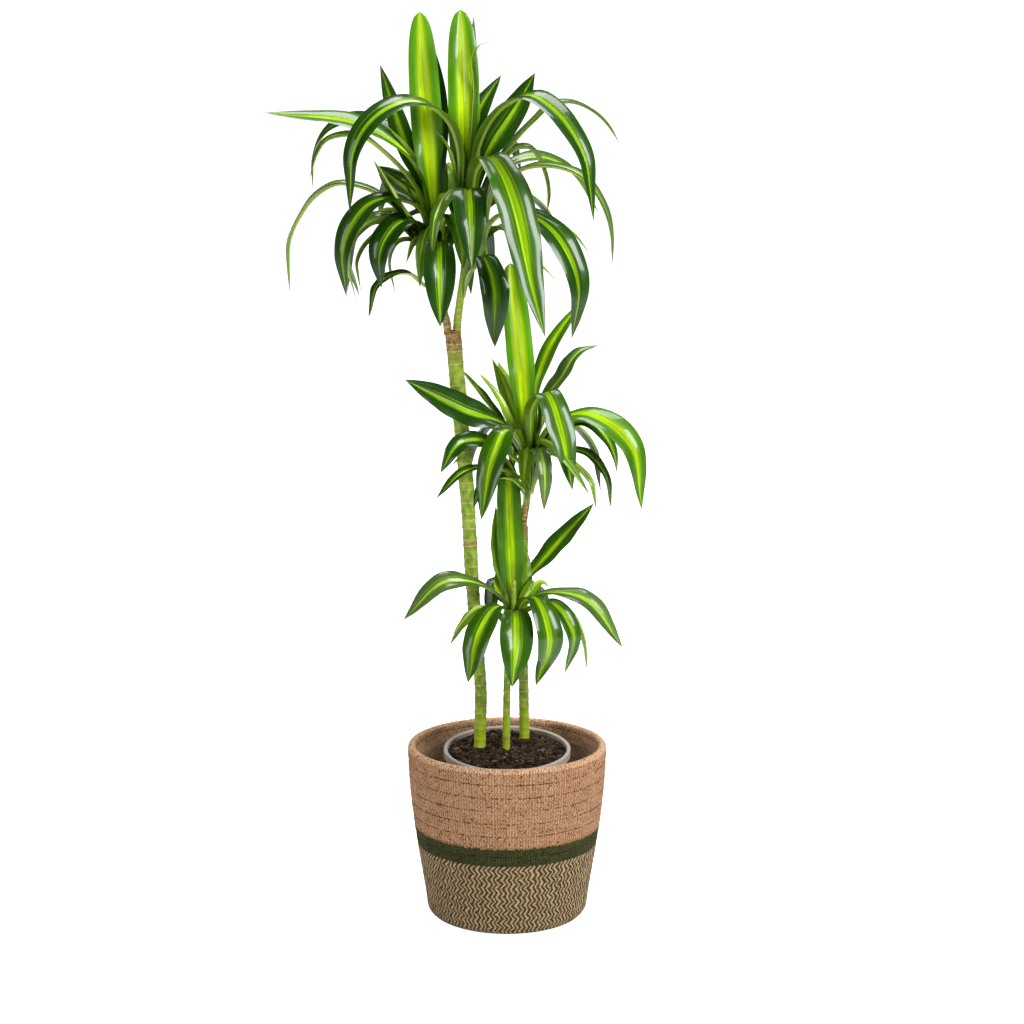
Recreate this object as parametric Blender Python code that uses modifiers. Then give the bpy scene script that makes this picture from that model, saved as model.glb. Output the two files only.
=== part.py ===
"""Potted corn plant (Dracaena fragrans) in a stitched rope basket.

Three canes of different height stand in a plastic grow pot of bark soil. The pot
stands on a film liner inside the basket. The origin is at the middle of the
basket's foot, +X is to the right and the front faces -Y.
"""

import itertools
import math

import bmesh
import bpy
import numpy as np
from mathutils import Matrix, Vector
from mathutils.bvhtree import BVHTree

CM = 0.01
GAP = 0.0003  # clearance between pieces that touch

# Basket: a sewn spiral of rope, slightly narrower from front to back.
BASKET_HEIGHT = 0.235
BASKET_RIM_RADIUS = 0.1295
BASKET_LOW_RADIUS = 0.105  # just above the rounded foot
BASKET_FOOT_RADIUS = 0.085
BASKET_FOOT_ROUND = 0.018
BASKET_WALL = 0.009
BASKET_ROWS = 13
BASKET_DEPTH_SCALE = 0.95
BASKET_FRONT_RISE = 0.1  # share by which the wall is taller for each metre it stands forward
ROW_BULGE = 0.0014

LINER_FILM = 0.0006
LINER_BELOW_RIM = 0.020

# Grow pot: thin wall, rolled rim, drain holes round the floor.
POT_HEIGHT = 0.216
POT_RIM_RADIUS = 0.0835
POT_FOOT_RADIUS = 0.061
POT_WALL = 0.0015
POT_RIM_WIDTH = 0.0035
POT_RIM_DEPTH = 0.009
POT_BACK = 0.005  # the pot stands a little behind the basket's middle
POT_BACK_RISE = 0.05  # slope of its rim, which is higher at the back
DRAIN_HOLES = 8
DRAIN_RADIUS = 0.004

SOIL_BELOW_POT_RIM = 0.002
SOIL_CROWN = 0.003
CANE_DEPTH_IN_SOIL = 0.08
HOLE_CLEARANCE = 0.0006
ROUND_STEPS = 48

LEAF_THICKNESS = 0.0010
LEAF_SEGMENTS = 10
LEAF_BASE_WIDTH = 0.010
SHOOT_RADIUS = 0.0050

# A leaf that would touch its neighbours turns about its shoot, twists, slides along it or
# stands off from it until it is clear. Each entry is a step's size, in degrees or cm, the
# most steps each way and the cost of one.
TURN_STEP = (3, 10, 1.0)
TWIST_STEP = (12, 3, 0.8)
SLIDE_STEP = (0.5, 3, 1.2)
STAND_OFF_STEP = (0.3, 6, 0.7)
LEAF_CLEARANCE = 0.0010

# Each cane's route in cm, from the soil's surface up, and its radius at both ends.
CANES = {
    "cane_tall": dict(path=[(-3.5, 1.2, 32), (-4.2, 1, 40), (-5.1, 0.2, 56.5), (-6.9, 0, 78.6)],
                      radius=(0.0072, 0.0102)),
    "cane_mid": dict(path=[(2.1, 4.5, 36), (2.1, 4.2, 52)], radius=(0.0064, 0.0064)),
    "cane_short": dict(path=[(0, 0.5, 31), (0.2, 0.4, 37)], radius=(0.0050, 0.0046)),
}
CANE_FEET = {"cane_tall": (-3.6, 1.3), "cane_mid": (2.3, 4.7), "cane_short": (-0.1, 0.6)}

# Each leafy shoot's route in cm.
SHOOTS = {
    "shoot_top_right": [(-6.35, 0.2, 78.85), (-5.9, 0.4, 83), (-5.3, 0.5, 88), (-5.2, 0.5, 98)],
    "shoot_top_left": [(-7.55, -0.3, 78.85), (-8.2, -0.5, 82), (-8.6, -0.5, 86), (-8.7, -0.5, 94)],
    "shoot_middle": [(2.1, 4.2, 52.1), (2.3, 4.1, 53.5), (2.9, 3.5, 58), (2.5, 3, 66.5)],
    "shoot_low": [(0.25, 0.4, 37.1), (0.7, 0.3, 40.3), (0.9, 0.3, 45.5)],
}

# Leaves of each shoot, youngest first. heading is the compass direction the leaf grows
# in (degrees from +X towards +Y), base is the height of its foot, and path is the
# midrib as (distance from the shoot, height above the foot). fullest is the share of the
# length where the blade is widest, roll twists it in degrees and sweep bends its tip
# sideways. Lengths in cm.
LEAVES = {
    "shoot_top_right": [
        dict(base=97, heading=100, width=4.0, path=[(0.8, 4.5), (1.8, 13.5), (3.5, 22)], fullest=0.7),
        dict(base=96, heading=50, width=3.4, path=[(1, 5), (2.5, 10), (7, 14.5)]),
        dict(base=95.5, heading=40, width=4.4, path=[(3, 5), (8, 10.5), (11.5, 15)], roll=15),
        dict(base=95, heading=12, width=2.8, path=[(3, 5), (8, 11), (12, 14), (17.5, 12), (20, 8.5)]),
        dict(base=94.5, heading=210, width=4.2, path=[(1, 8), (3, 12), (9, 13.8), (15, 10), (16.5, 0.5)]),
        dict(base=94, heading=325, width=4.0, path=[(1.6, 7), (4, 11.5), (9, 14.8), (17.5, 9), (19.5, 0)]),
        dict(base=93.5, heading=8, width=3.2, path=[(2.5, 6.5), (7, 10.2), (10.5, 4.5), (10.5, 1.5)]),
        dict(base=93, heading=22, width=3.0, path=[(3, 5.5), (9, 7.5), (15, 5.5), (20, -0.5)]),
        dict(base=92.5, heading=305, width=5.0, path=[(2.6, 7.5), (5.8, 9), (8.5, 6.5), (15, -7), (17.5, -12)],
             fullest=0.5),
        dict(base=91.5, heading=275, width=4.0, path=[(2.5, 5), (4.5, 6), (8, 3.5), (11, -3)]),
        dict(base=90.5, heading=348, width=3.8, path=[(2.5, 6.5), (8, 9.5), (14, 8.5), (18.5, 2), (19, -2.5)]),
        dict(base=90, heading=150, width=3.4, path=[(2.5, 5), (9, 11.5), (17, 14.5), (22.5, 10.5), (23, 5)]),
        dict(base=89, heading=330, width=4.0, path=[(2, 3.5), (5.5, 5.5), (11, 4), (16, -3), (15.5, -10)]),
        dict(base=88, heading=295, width=3.8, path=[(2.5, 0), (5.5, 1), (8, -1), (9, -10)]),
    ],
    "shoot_top_left": [
        dict(base=93.5, heading=138, width=4.2, path=[(1.2, 4.5), (2.4, 17), (3, 25.5)], roll=-48, fullest=0.7),
        dict(base=94, heading=95, width=3.0, path=[(0.9, 5.5), (2.8, 14), (5, 20)]),
        dict(base=93, heading=178, width=4.4, path=[(1.2, 3.8), (3, 7.5), (8, 11.2), (21.7, 13.5)]),
        dict(base=92.5, heading=148, width=2.6, path=[(2.5, 5.5), (5, 10), (9, 19.5)]),
        dict(base=91.5, heading=145, width=4.6, path=[(2.5, 3.5), (6, 5.5), (9.5, 7.5)], roll=-25),
        dict(base=91.5, heading=190, width=3.2, path=[(2.5, 5), (6, 9.2), (10, 12), (14.5, 11.2), (16.2, 7)]),
        dict(base=90, heading=305, width=2.8, path=[(1, 3), (2.5, 4), (4.5, 2.5), (5.5, -2.5)]),
        dict(base=90, heading=203, width=3.8, path=[(2, 4.5), (8, 6), (12.5, 1), (12.5, -6)]),
        dict(base=88, heading=216, width=4.0, path=[(2, 4.5), (4.2, 5.5), (8.7, 2), (8.8, -2.8)]),
        dict(base=88, heading=187, width=3.6, path=[(3, 5), (7.5, 9), (12.5, 10), (18.7, 3), (19, -4)]),
        dict(base=88, heading=275, width=3.9, path=[(3, 2), (4.5, 3), (7, 1), (9, -7)]),
        dict(base=85, heading=176, width=3.4, path=[(3, 6), (7.5, 8), (11.3, 4.5), (10.3, -2)]),
        dict(base=85, heading=198, width=3.0, path=[(1.5, 0), (4.5, 2), (8, 0.8), (9.5, -3.5)]),
    ],
    "shoot_middle": [
        dict(base=66, heading=115, width=3.6, path=[(1, 2.5), (2.5, 10.5), (5, 20)], fullest=0.45, roll=-15),
        dict(base=65.5, heading=45, width=2.6, path=[(1, 4.5), (3.5, 9), (10, 15)]),
        dict(base=65, heading=25, width=3.6, path=[(1.8, 3.8), (4.2, 6.2), (7.2, 9.5), (10.2, 10.2)]),
        dict(base=63.5, heading=303, width=3.8, path=[(1.2, 4.5), (4.5, 7), (7.3, 3.5), (10.5, -4.5)]),
        dict(base=63, heading=210, width=3.9, path=[(2.5, 2.2), (9.5, 5.6), (18, 10.5)], roll=-40),
        dict(base=62, heading=240, width=3.8, path=[(3, 3), (5.5, 4.5), (8.5, 2), (12, -6)]),
        dict(base=62, heading=172, width=3.2, path=[(3, 3.5), (8.5, 10.5)]),
        dict(base=61, heading=340, width=4.2, path=[(2.5, 4), (7.5, 6.5), (13.5, 3.5), (15.5, -5.5)]),
        dict(base=60, heading=215, width=2.8, path=[(3, 2), (7.4, 4.4), (10.7, 4.5), (13.8, 1)]),
        dict(base=58, heading=222, width=2.4, path=[(4, 2), (8, 3.2), (11.5, 3), (16, 0.3)]),
        dict(base=57, heading=220, width=2.4, path=[(3, 1.8), (6, 2.2), (8.2, 0.8), (9.2, -1.2)]),
        dict(base=60, heading=2, width=3.4, path=[(2, 4), (7, 6), (11, 1.5), (11.5, -1)]),
        dict(base=60, heading=284, width=2.0, path=[(3.5, 3), (6, 3.5), (8.3, 1), (8, -4)]),
        dict(base=58.5, heading=345, width=3.4, path=[(2.5, 3.2), (7, 3.8), (10, 1), (11, -3.5)]),
    ],
    "shoot_low": [
        dict(base=44, heading=105, width=4.2, path=[(1, 2.5), (1.8, 6), (3.5, 17)]),
        dict(base=43, heading=35, width=4.0, path=[(1.5, 1.5), (5, 4.5), (13, 11)]),
        dict(base=42.1, heading=350, width=3.2, path=[(2, 1), (5.5, 2), (9, 1.5), (14.5, -5)]),
        dict(base=41.6, heading=200, width=3.2, path=[(1.4, 1.5), (4, 3.5), (9, 4.6), (15, 0)]),
        dict(base=41.1, heading=303, width=3.8, path=[(2, 2), (5, 3.2), (8.5, -1), (5.5, -8.5)]),
        dict(base=40.6, heading=235, width=4.0, path=[(2, 1.8), (4, 2), (7, -0.2), (10, -6.5)]),
        dict(base=40.1, heading=277, width=4.2, path=[(2.5, 2), (4.5, 2.2), (8, -1), (9.5, -6.2)], sweep=-1.2),
        dict(base=39, heading=330, width=2.6, path=[(2.5, 3.2), (6, 4.2), (9.2, 0.5), (8, -5)]),
    ],
}

LEAF_GREEN = (0.10, 0.22, 0.012)
COLOURS = {
    "basket": dict(colour=(0.30, 0.18, 0.09), roughness=0.9),
    "basket_liner": dict(colour=(0.75, 0.75, 0.72), roughness=0.25),
    "grow_pot": dict(colour=(0.42, 0.43, 0.42), roughness=0.5),
    "soil": dict(colour=(0.04, 0.022, 0.012), roughness=1.0),
    "cane": dict(colour=(0.19, 0.24, 0.06), roughness=0.5),
    "shoot": dict(colour=(0.22, 0.32, 0.05), roughness=0.45),
    "leaf": dict(colour=LEAF_GREEN, roughness=0.3),
}


def clear_scene():
    for item in list(bpy.data.objects):
        bpy.data.objects.remove(item, do_unlink=True)


def add_collection(name):
    collection = bpy.data.collections.new(name)
    bpy.context.scene.collection.children.link(collection)
    return collection


def make_material(name):
    material = bpy.data.materials.new(name)
    material.use_nodes = True
    shader = material.node_tree.nodes["Principled BSDF"]
    shader.inputs["Base Color"].default_value = (*COLOURS[name]["colour"], 1)
    shader.inputs["Roughness"].default_value = COLOURS[name]["roughness"]
    shader.inputs["Metallic"].default_value = 0
    return material


def add_object(name, mesh, material, collection):
    item = bpy.data.objects.new(name, mesh)
    mesh.materials.clear()
    mesh.materials.append(material)
    collection.objects.link(item)
    return item


def evaluated_mesh(item):
    graph = bpy.context.evaluated_depsgraph_get()
    return bpy.data.meshes.new_from_object(item.evaluated_get(graph))


def turned_mesh(name, profile):
    """Turn a profile of (radius, height) points, which runs down its outer side, about Z."""
    outline = bmesh.new()
    points = [outline.verts.new((radius, 0, height)) for radius, height in profile]
    for first, second in zip(points, points[1:]):
        outline.edges.new((first, second))
    flat = bpy.data.meshes.new(name + "_profile")
    outline.to_mesh(flat)
    outline.free()
    turned = bpy.data.objects.new(name + "_profile", flat)
    bpy.context.scene.collection.objects.link(turned)
    screw = turned.modifiers.new("Turn", "SCREW")
    screw.steps = ROUND_STEPS
    screw.render_steps = ROUND_STEPS
    screw.use_merge_vertices = True
    screw.merge_threshold = 0.00005
    bpy.context.view_layer.update()
    mesh = evaluated_mesh(turned)
    mesh.name = name
    bpy.data.objects.remove(turned, do_unlink=True)
    mesh.shade_smooth()
    mesh.set_sharp_from_angle(angle=math.radians(40))
    return mesh


def shape_like_basket(mesh):
    """Narrow a turned shape from front to back, and stretch it upwards towards the front."""
    for point in mesh.vertices:
        point.co.y *= BASKET_DEPTH_SCALE
        point.co.z *= 1 - BASKET_FRONT_RISE * point.co.y


def basket_radius(height):
    """Outer radius of the basket's wall above its rounded foot."""
    share = (height - BASKET_FOOT_ROUND) / (BASKET_HEIGHT - BASKET_FOOT_ROUND)
    return BASKET_LOW_RADIUS + (BASKET_RIM_RADIUS - BASKET_LOW_RADIUS) * math.sin(math.pi / 2 * share) ** 1.15


def inner_wall(depth_in):
    """Points up the basket's inside, set in from its outer wall, up to the liner's top edge."""
    top = BASKET_HEIGHT - LINER_BELOW_RIM
    heights = np.linspace(BASKET_FOOT_ROUND, top, 5)
    return [(basket_radius(height) - depth_in, height) for height in heights]


def basket_profile():
    """Up the plain inside, over the rim, down the rope rows and round the foot."""
    row_height = (BASKET_HEIGHT - BASKET_FOOT_ROUND) / BASKET_ROWS
    inner_top = BASKET_RIM_RADIUS - BASKET_WALL
    profile = [(0, BASKET_WALL), (BASKET_FOOT_RADIUS - BASKET_WALL / 2, BASKET_WALL)]
    profile += inner_wall(BASKET_WALL)
    profile.append((inner_top, BASKET_HEIGHT - BASKET_WALL / 2))
    profile.append((inner_top + BASKET_WALL * 0.25, BASKET_HEIGHT - 0.0012))
    profile.append((inner_top + BASKET_WALL * 0.6, BASKET_HEIGHT))
    for row in range(BASKET_ROWS):
        top = BASKET_HEIGHT - row * row_height
        for share, bulge in ((0.12, 0), (0.5, 1)):
            height = top - share * row_height
            profile.append((basket_radius(height) + bulge * ROW_BULGE, height))
    profile.append((BASKET_LOW_RADIUS, BASKET_FOOT_ROUND))
    for angle in (30, 60, 90):
        turn = math.radians(angle)
        radius = BASKET_FOOT_RADIUS + (BASKET_LOW_RADIUS - BASKET_FOOT_RADIUS) * math.cos(turn)
        profile.append((radius, BASKET_FOOT_ROUND * (1 - math.sin(turn))))
    profile.append((0, 0))
    return profile


def make_basket(material, collection):
    mesh = turned_mesh("basket", basket_profile())
    shape_like_basket(mesh)
    return add_object("basket", mesh, material, collection)


def make_liner(material, collection):
    """A film cup that follows the inside of the basket."""
    floor = BASKET_WALL + GAP
    foot = BASKET_FOOT_RADIUS - BASKET_WALL / 2 - 3 * GAP
    inside = inner_wall(BASKET_WALL + 2 * GAP + LINER_FILM)
    outside = inner_wall(BASKET_WALL + 2 * GAP)[::-1]
    profile = [(0, floor + LINER_FILM), (foot - LINER_FILM, floor + LINER_FILM)]
    profile += inside + outside + [(foot, floor), (0, floor)]
    mesh = turned_mesh("basket_liner", profile)
    shape_like_basket(mesh)
    return add_object("basket_liner", mesh, material, collection)


def pot_floor():
    return BASKET_WALL + 2 * GAP + LINER_FILM


def raise_back(mesh):
    """Slope the rim of the pot, or the soil in it, upwards to the back; its floor stays level."""
    for point in mesh.vertices:
        point.co.z += POT_BACK_RISE * point.co.y * (point.co.z - pot_floor()) / POT_HEIGHT


def make_drain_cutter(cutters):
    """Eight short rods through the floor of the grow pot."""
    rods = bmesh.new()
    for index in range(DRAIN_HOLES):
        turn = 2 * math.pi * index / DRAIN_HOLES
        ring = POT_FOOT_RADIUS * 0.72
        place = Matrix.Translation((ring * math.cos(turn), ring * math.sin(turn) + POT_BACK, pot_floor()))
        bmesh.ops.create_cone(rods, cap_ends=True, segments=12, radius1=DRAIN_RADIUS,
                              radius2=DRAIN_RADIUS, depth=0.01, matrix=place)
    mesh = bpy.data.meshes.new("drain_cutter")
    rods.to_mesh(mesh)
    rods.free()
    cutter = bpy.data.objects.new("drain_cutter", mesh)
    cutters.objects.link(cutter)
    return cutter


def cut_with(item, cutter):
    cutter.hide_render = True
    cutter.display_type = "WIRE"
    cut = item.modifiers.new("Cut", "BOOLEAN")
    cut.operation = "DIFFERENCE"
    cut.solver = "EXACT"
    cut.object = cutter


def make_pot(material, collection, cutters):
    floor = pot_floor()
    top = floor + POT_HEIGHT
    under_rim = top - POT_RIM_DEPTH
    body_radius = POT_RIM_RADIUS - POT_RIM_WIDTH
    profile = [
        (0, floor + POT_WALL),
        (POT_FOOT_RADIUS - POT_WALL, floor + POT_WALL),
        (body_radius - POT_WALL, under_rim),
        (body_radius - POT_WALL, top - 0.001),
        (body_radius - POT_WALL + 0.001, top),
        (POT_RIM_RADIUS - 0.001, top),
        (POT_RIM_RADIUS, top - 0.001),
        (POT_RIM_RADIUS, under_rim),
        (POT_RIM_RADIUS - POT_WALL, under_rim),
        (body_radius, under_rim + POT_WALL),
        (POT_FOOT_RADIUS, floor),
        (0, floor),
    ]
    pot = add_object("grow_pot", turned_mesh("grow_pot", profile), material, collection)
    raise_back(pot.data)
    pot.location.y = POT_BACK
    cut_with(pot, make_drain_cutter(cutters))
    return pot


def soil_top():
    return pot_floor() + POT_HEIGHT - SOIL_BELOW_POT_RIM


def pot_inner_radius(height):
    """Inner radius of the grow pot, which widens evenly from its floor to its rim."""
    rise = POT_HEIGHT - POT_RIM_DEPTH - POT_WALL
    share = min((height - pot_floor() - POT_WALL) / rise, 1)
    return POT_FOOT_RADIUS + (POT_RIM_RADIUS - POT_RIM_WIDTH - POT_FOOT_RADIUS) * share - POT_WALL


def make_soil(material, collection, cutters):
    """Potting bark that fills the pot, with a blind hole round each cane."""
    low = pot_floor() + POT_WALL + GAP
    high = soil_top()
    edge = high - SOIL_CROWN
    edge_radius = pot_inner_radius(edge) - 2 * GAP
    profile = [(0, high)]
    for share in (0.35, 0.7, 0.9, 1):
        profile.append((edge_radius * share, high - SOIL_CROWN * share ** 2))
    profile.append((pot_inner_radius(low) - 2 * GAP, low))
    profile.append((0, low))
    soil = add_object("soil", turned_mesh("soil", profile), material, collection)
    raise_back(soil.data)
    soil.location.y = POT_BACK
    for name, (x, y) in CANE_FEET.items():
        radius = CANES[name]["radius"][0] + HOLE_CLEARANCE
        depth = CANE_DEPTH_IN_SOIL + GAP
        hole = bmesh.new()
        place = Matrix.Translation((x * CM, y * CM, high - depth + 0.05))
        bmesh.ops.create_cone(hole, cap_ends=True, segments=20, radius1=radius, radius2=radius,
                              depth=0.1, matrix=place)
        mesh = bpy.data.meshes.new(name + "_hole")
        hole.to_mesh(mesh)
        hole.free()
        cutter = bpy.data.objects.new(name + "_hole", mesh)
        cutters.objects.link(cutter)
        cut_with(soil, cutter)
    return soil


def smooth_path(points, count):
    """Points spaced evenly along a smooth curve through the given points."""
    points = np.array(points, float)
    steps = np.linalg.norm(np.diff(points, axis=0), axis=1)
    place = np.concatenate([[0], np.cumsum(steps)])
    slopes = np.gradient(points, place, axis=0)
    fine = np.linspace(0, place[-1], 200)
    span = np.clip(np.searchsorted(place, fine, side="right") - 1, 0, len(steps) - 1)
    size = steps[span][:, None]
    t = ((fine - place[span]) / steps[span])[:, None]
    curve = ((2 * t ** 3 - 3 * t ** 2 + 1) * points[span] + (t ** 3 - 2 * t ** 2 + t) * size * slopes[span]
             + (3 * t ** 2 - 2 * t ** 3) * points[span + 1] + (t ** 3 - t ** 2) * size * slopes[span + 1])
    length = np.concatenate([[0], np.cumsum(np.linalg.norm(np.diff(curve, axis=0), axis=1))])
    even = np.linspace(0, length[-1], count)
    return np.stack([np.interp(even, length, curve[:, axis]) for axis in range(curve.shape[1])], axis=1)


def make_stem(name, route, radii, material, collection, points=9):
    """A round stem along a route in metres, tapering from the first radius to the second."""
    curve = bpy.data.curves.new(name + "_route", "CURVE")
    curve.dimensions = "3D"
    curve.bevel_depth = 1.0
    curve.bevel_resolution = 3
    curve.use_fill_caps = True
    spline = curve.splines.new("POLY")
    path = smooth_path(route, points)
    spline.points.add(points - 1)
    for index, place in enumerate(path):
        share = index / (points - 1)
        spline.points[index].co = (*place, 1)
        spline.points[index].radius = radii[0] + (radii[1] - radii[0]) * share
    guide = bpy.data.objects.new(name + "_route", curve)
    bpy.context.scene.collection.objects.link(guide)
    bpy.context.view_layer.update()
    mesh = evaluated_mesh(guide)
    mesh.name = name
    bpy.data.objects.remove(guide, do_unlink=True)
    solid = bmesh.new()
    solid.from_mesh(mesh)
    bmesh.ops.remove_doubles(solid, verts=solid.verts, dist=0.00001)
    bmesh.ops.recalc_face_normals(solid, faces=solid.faces)
    solid.to_mesh(mesh)
    solid.free()
    mesh.shade_smooth()
    mesh.set_sharp_from_angle(angle=math.radians(40))
    return add_object(name, mesh, material, collection)


def make_cane(name, cane, material, collection):
    """A cane that stands straight in the soil, then follows its path."""
    foot = CANE_FEET[name]
    ground = soil_top() / CM
    below = [(*foot, ground - CANE_DEPTH_IN_SOIL / CM), (*foot, ground)]
    route = np.array(below + cane["path"]) * CM
    return make_stem(name, route, cane["radius"], material, collection)


def shoot_axis(route, height):
    """Where a shoot's middle is at a height, both in cm."""
    route = np.array(route)
    return np.array([np.interp(height, route[:, 2], route[:, axis]) for axis in (0, 1)])


def leaf_half_width(share, width, fullest):
    """A narrow foot, the widest place at the fullest share, and a pointed tip."""
    rising = np.sin(np.pi / 2 * np.clip(share / fullest, 0, 1)) ** 1.8
    falling = 1 - np.clip((share - fullest) / (1 - fullest), 0, 1) ** 2
    foot = LEAF_BASE_WIDTH / 2 * (1 - rising)
    return foot * falling + width / 2 * rising * falling


def leaf_frames(axis, leaf):
    """Midrib points with the blade's sideways and upward directions at each."""
    heading = math.radians(leaf["heading"])
    roll = math.radians(leaf.get("roll", 0))
    start = (SHOOT_RADIUS / CM + 0.25, 0)
    share = np.linspace(0, 1, LEAF_SEGMENTS + 1)
    reach, rise = smooth_path([start] + leaf["path"], LEAF_SEGMENTS + 1).T
    reach = reach + leaf.get("stand_off", 0) * (1 - share)
    bend = leaf.get("sweep", 0) * share ** 2
    level = np.array([-math.sin(heading), math.cos(heading), 0])
    outward = np.array([math.cos(heading), math.sin(heading), 0])
    foot = np.array([*axis, leaf["base"]])
    upward = np.array([0, 0, 1])
    midrib = (foot + reach[:, None] * outward + bend[:, None] * level + rise[:, None] * upward) * CM
    along = np.gradient(midrib, axis=0)
    above = np.cross(along, level)
    above /= np.linalg.norm(above, axis=1)[:, None]
    across = np.cross(above, along)
    across /= np.linalg.norm(across, axis=1)[:, None]
    tilt = (roll * np.clip(share / 0.4, 0, 1) ** 2)[:, None]
    side = across * np.cos(tilt) + above * np.sin(tilt)
    up = above * np.cos(tilt) - across * np.sin(tilt)
    return share, midrib, side, up


def leaf_surface(axis, leaf):
    """Places and upward directions of the blade's left edge, midrib and right edge."""
    share, midrib, side, up = leaf_frames(axis, leaf)
    half = leaf_half_width(share, leaf["width"] * CM, leaf.get("fullest", 0.55))[:, None]
    fold = (0.15 + 0.35 * np.clip(1 - share / 0.35, 0, 1))[:, None]
    rows = [midrib + side * half * across + up * half * fold * abs(across) for across in (-1, 0, 1)]
    return np.stack(rows, axis=1), np.stack([up, up, up], axis=1)


def leaf_tree(axis, leaf):
    """A search tree of two sheets just above and below the blade, a little wider than it."""
    places, ups = leaf_surface(axis, dict(leaf, width=leaf["width"] + 2 * LEAF_CLEARANCE / CM))
    sheets = np.stack([places + ups * LEAF_CLEARANCE, places - ups * LEAF_CLEARANCE])
    rows, columns = places.shape[:2]
    index = np.arange(sheets.size // 3).reshape(2, rows, columns)
    quads = np.stack([index[:, :-1, :-1], index[:, :-1, 1:], index[:, 1:, 1:], index[:, 1:, :-1]], axis=-1)
    return BVHTree.FromPolygons(sheets.reshape(-1, 3).tolist(), quads.reshape(-1, 4).tolist())


def small_moves():
    """Every mix of turn, twist, slide and stand-off, the least costly first."""
    counts = [range(-most, most + 1) for _, most, _ in (TURN_STEP, TWIST_STEP, SLIDE_STEP)]
    counts.append(range(STAND_OFF_STEP[1] + 1))
    steps = (TURN_STEP, TWIST_STEP, SLIDE_STEP, STAND_OFF_STEP)
    moves = []
    for mix in itertools.product(*counts):
        cost = sum(abs(count) * step[2] for count, step in zip(mix, steps))
        moves.append((cost, *(count * step[0] for count, step in zip(mix, steps))))
    return sorted(moves)


def find_clear_leaf(route, leaf, moves, obstacles):
    """The leaf after the smallest move that keeps it off everything grown before it."""
    for _, turn, twist, slide, stand_off in moves:
        moved = dict(leaf, heading=leaf["heading"] + turn, roll=leaf.get("roll", 0) + twist,
                     base=leaf["base"] + slide, stand_off=stand_off)
        tree = leaf_tree(shoot_axis(route, moved["base"]), moved)
        if not any(tree.overlap(other) for other in obstacles):
            obstacles.append(tree)
            return moved
    raise RuntimeError("no clear place for a leaf at heading " + str(leaf["heading"]))


def make_leaf(name, axis, leaf, material, collection):
    places, _ = leaf_surface(axis, leaf)
    blade = bmesh.new()
    bmesh.ops.create_grid(blade, x_segments=LEAF_SEGMENTS, y_segments=2, size=0.5)
    for point in blade.verts:
        row = round((point.co.x + 0.5) * LEAF_SEGMENTS)
        column = round((point.co.y + 0.5) * 2)
        point.co = Vector(places[row, column])
    bmesh.ops.remove_doubles(blade, verts=blade.verts, dist=0.0001)
    mesh = bpy.data.meshes.new(name)
    blade.to_mesh(mesh)
    blade.free()
    mesh.shade_smooth()
    item = add_object(name, mesh, material, collection)
    thick = item.modifiers.new("Thickness", "SOLIDIFY")
    thick.thickness = LEAF_THICKNESS
    thick.offset = 0
    return item


def tree_of(item):
    mesh = item.data
    places = [point.co.copy() for point in mesh.vertices]
    return BVHTree.FromPolygons(places, [tuple(face.vertices) for face in mesh.polygons])


def grow_leaves(stems, material, collection):
    """Grow the leaves shoot by shoot, the youngest and innermost first."""
    obstacles = [tree_of(stem) for stem in stems]
    moves = small_moves()
    for shoot, leaves in LEAVES.items():
        route = SHOOTS[shoot]
        for number, wanted in enumerate(leaves, start=1):
            leaf = find_clear_leaf(route, wanted, moves, obstacles)
            name = f"{shoot.replace('shoot', 'leaf')}_{number:02d}"
            make_leaf(name, shoot_axis(route, leaf["base"]), leaf, material, collection)


def build():
    clear_scene()
    collection = add_collection("potted_corn_plant")
    cutters = add_collection("cutters")
    materials = {name: make_material(name) for name in COLOURS}
    make_basket(materials["basket"], collection)
    make_liner(materials["basket_liner"], collection)
    make_pot(materials["grow_pot"], collection, cutters)
    make_soil(materials["soil"], collection, cutters)
    stems = []
    for name, cane in CANES.items():
        stems.append(make_cane(name, cane, materials["cane"], collection))
    radii = (SHOOT_RADIUS, SHOOT_RADIUS * 0.6)
    for name, route in SHOOTS.items():
        stems.append(make_stem(name, np.array(route) * CM, radii, materials["shoot"], collection, points=6))
    grow_leaves(stems, materials["leaf"], collection)


build()
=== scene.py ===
import math

import bpy
import numpy as np
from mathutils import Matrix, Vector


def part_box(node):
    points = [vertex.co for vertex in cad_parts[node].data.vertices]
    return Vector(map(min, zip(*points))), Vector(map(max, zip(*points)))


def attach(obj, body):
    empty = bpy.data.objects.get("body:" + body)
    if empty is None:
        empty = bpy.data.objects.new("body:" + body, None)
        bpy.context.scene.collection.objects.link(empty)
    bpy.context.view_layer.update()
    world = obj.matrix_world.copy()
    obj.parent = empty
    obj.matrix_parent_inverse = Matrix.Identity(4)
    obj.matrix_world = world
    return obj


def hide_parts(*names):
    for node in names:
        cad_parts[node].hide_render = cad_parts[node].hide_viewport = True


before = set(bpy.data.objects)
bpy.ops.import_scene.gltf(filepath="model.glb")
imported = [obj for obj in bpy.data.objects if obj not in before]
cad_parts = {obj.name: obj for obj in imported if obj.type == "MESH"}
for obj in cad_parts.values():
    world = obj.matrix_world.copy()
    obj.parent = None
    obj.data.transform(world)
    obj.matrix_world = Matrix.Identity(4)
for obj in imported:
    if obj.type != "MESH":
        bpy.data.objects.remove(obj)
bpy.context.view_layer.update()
cm = 0.01

print("frame loaded,", len(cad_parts), "nodes")


def unit(vectors):
    # Each vector divided by its own length.
    return vectors / np.maximum(np.linalg.norm(vectors, axis=-1, keepdims=True), 1e-9)


def smoothStep(low, high, value):
    # 0 below low, 1 above high, and an even S between them.
    t = np.clip((value - low) / (high - low), 0, 1)
    return t * t * (3 - 2 * t)


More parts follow.
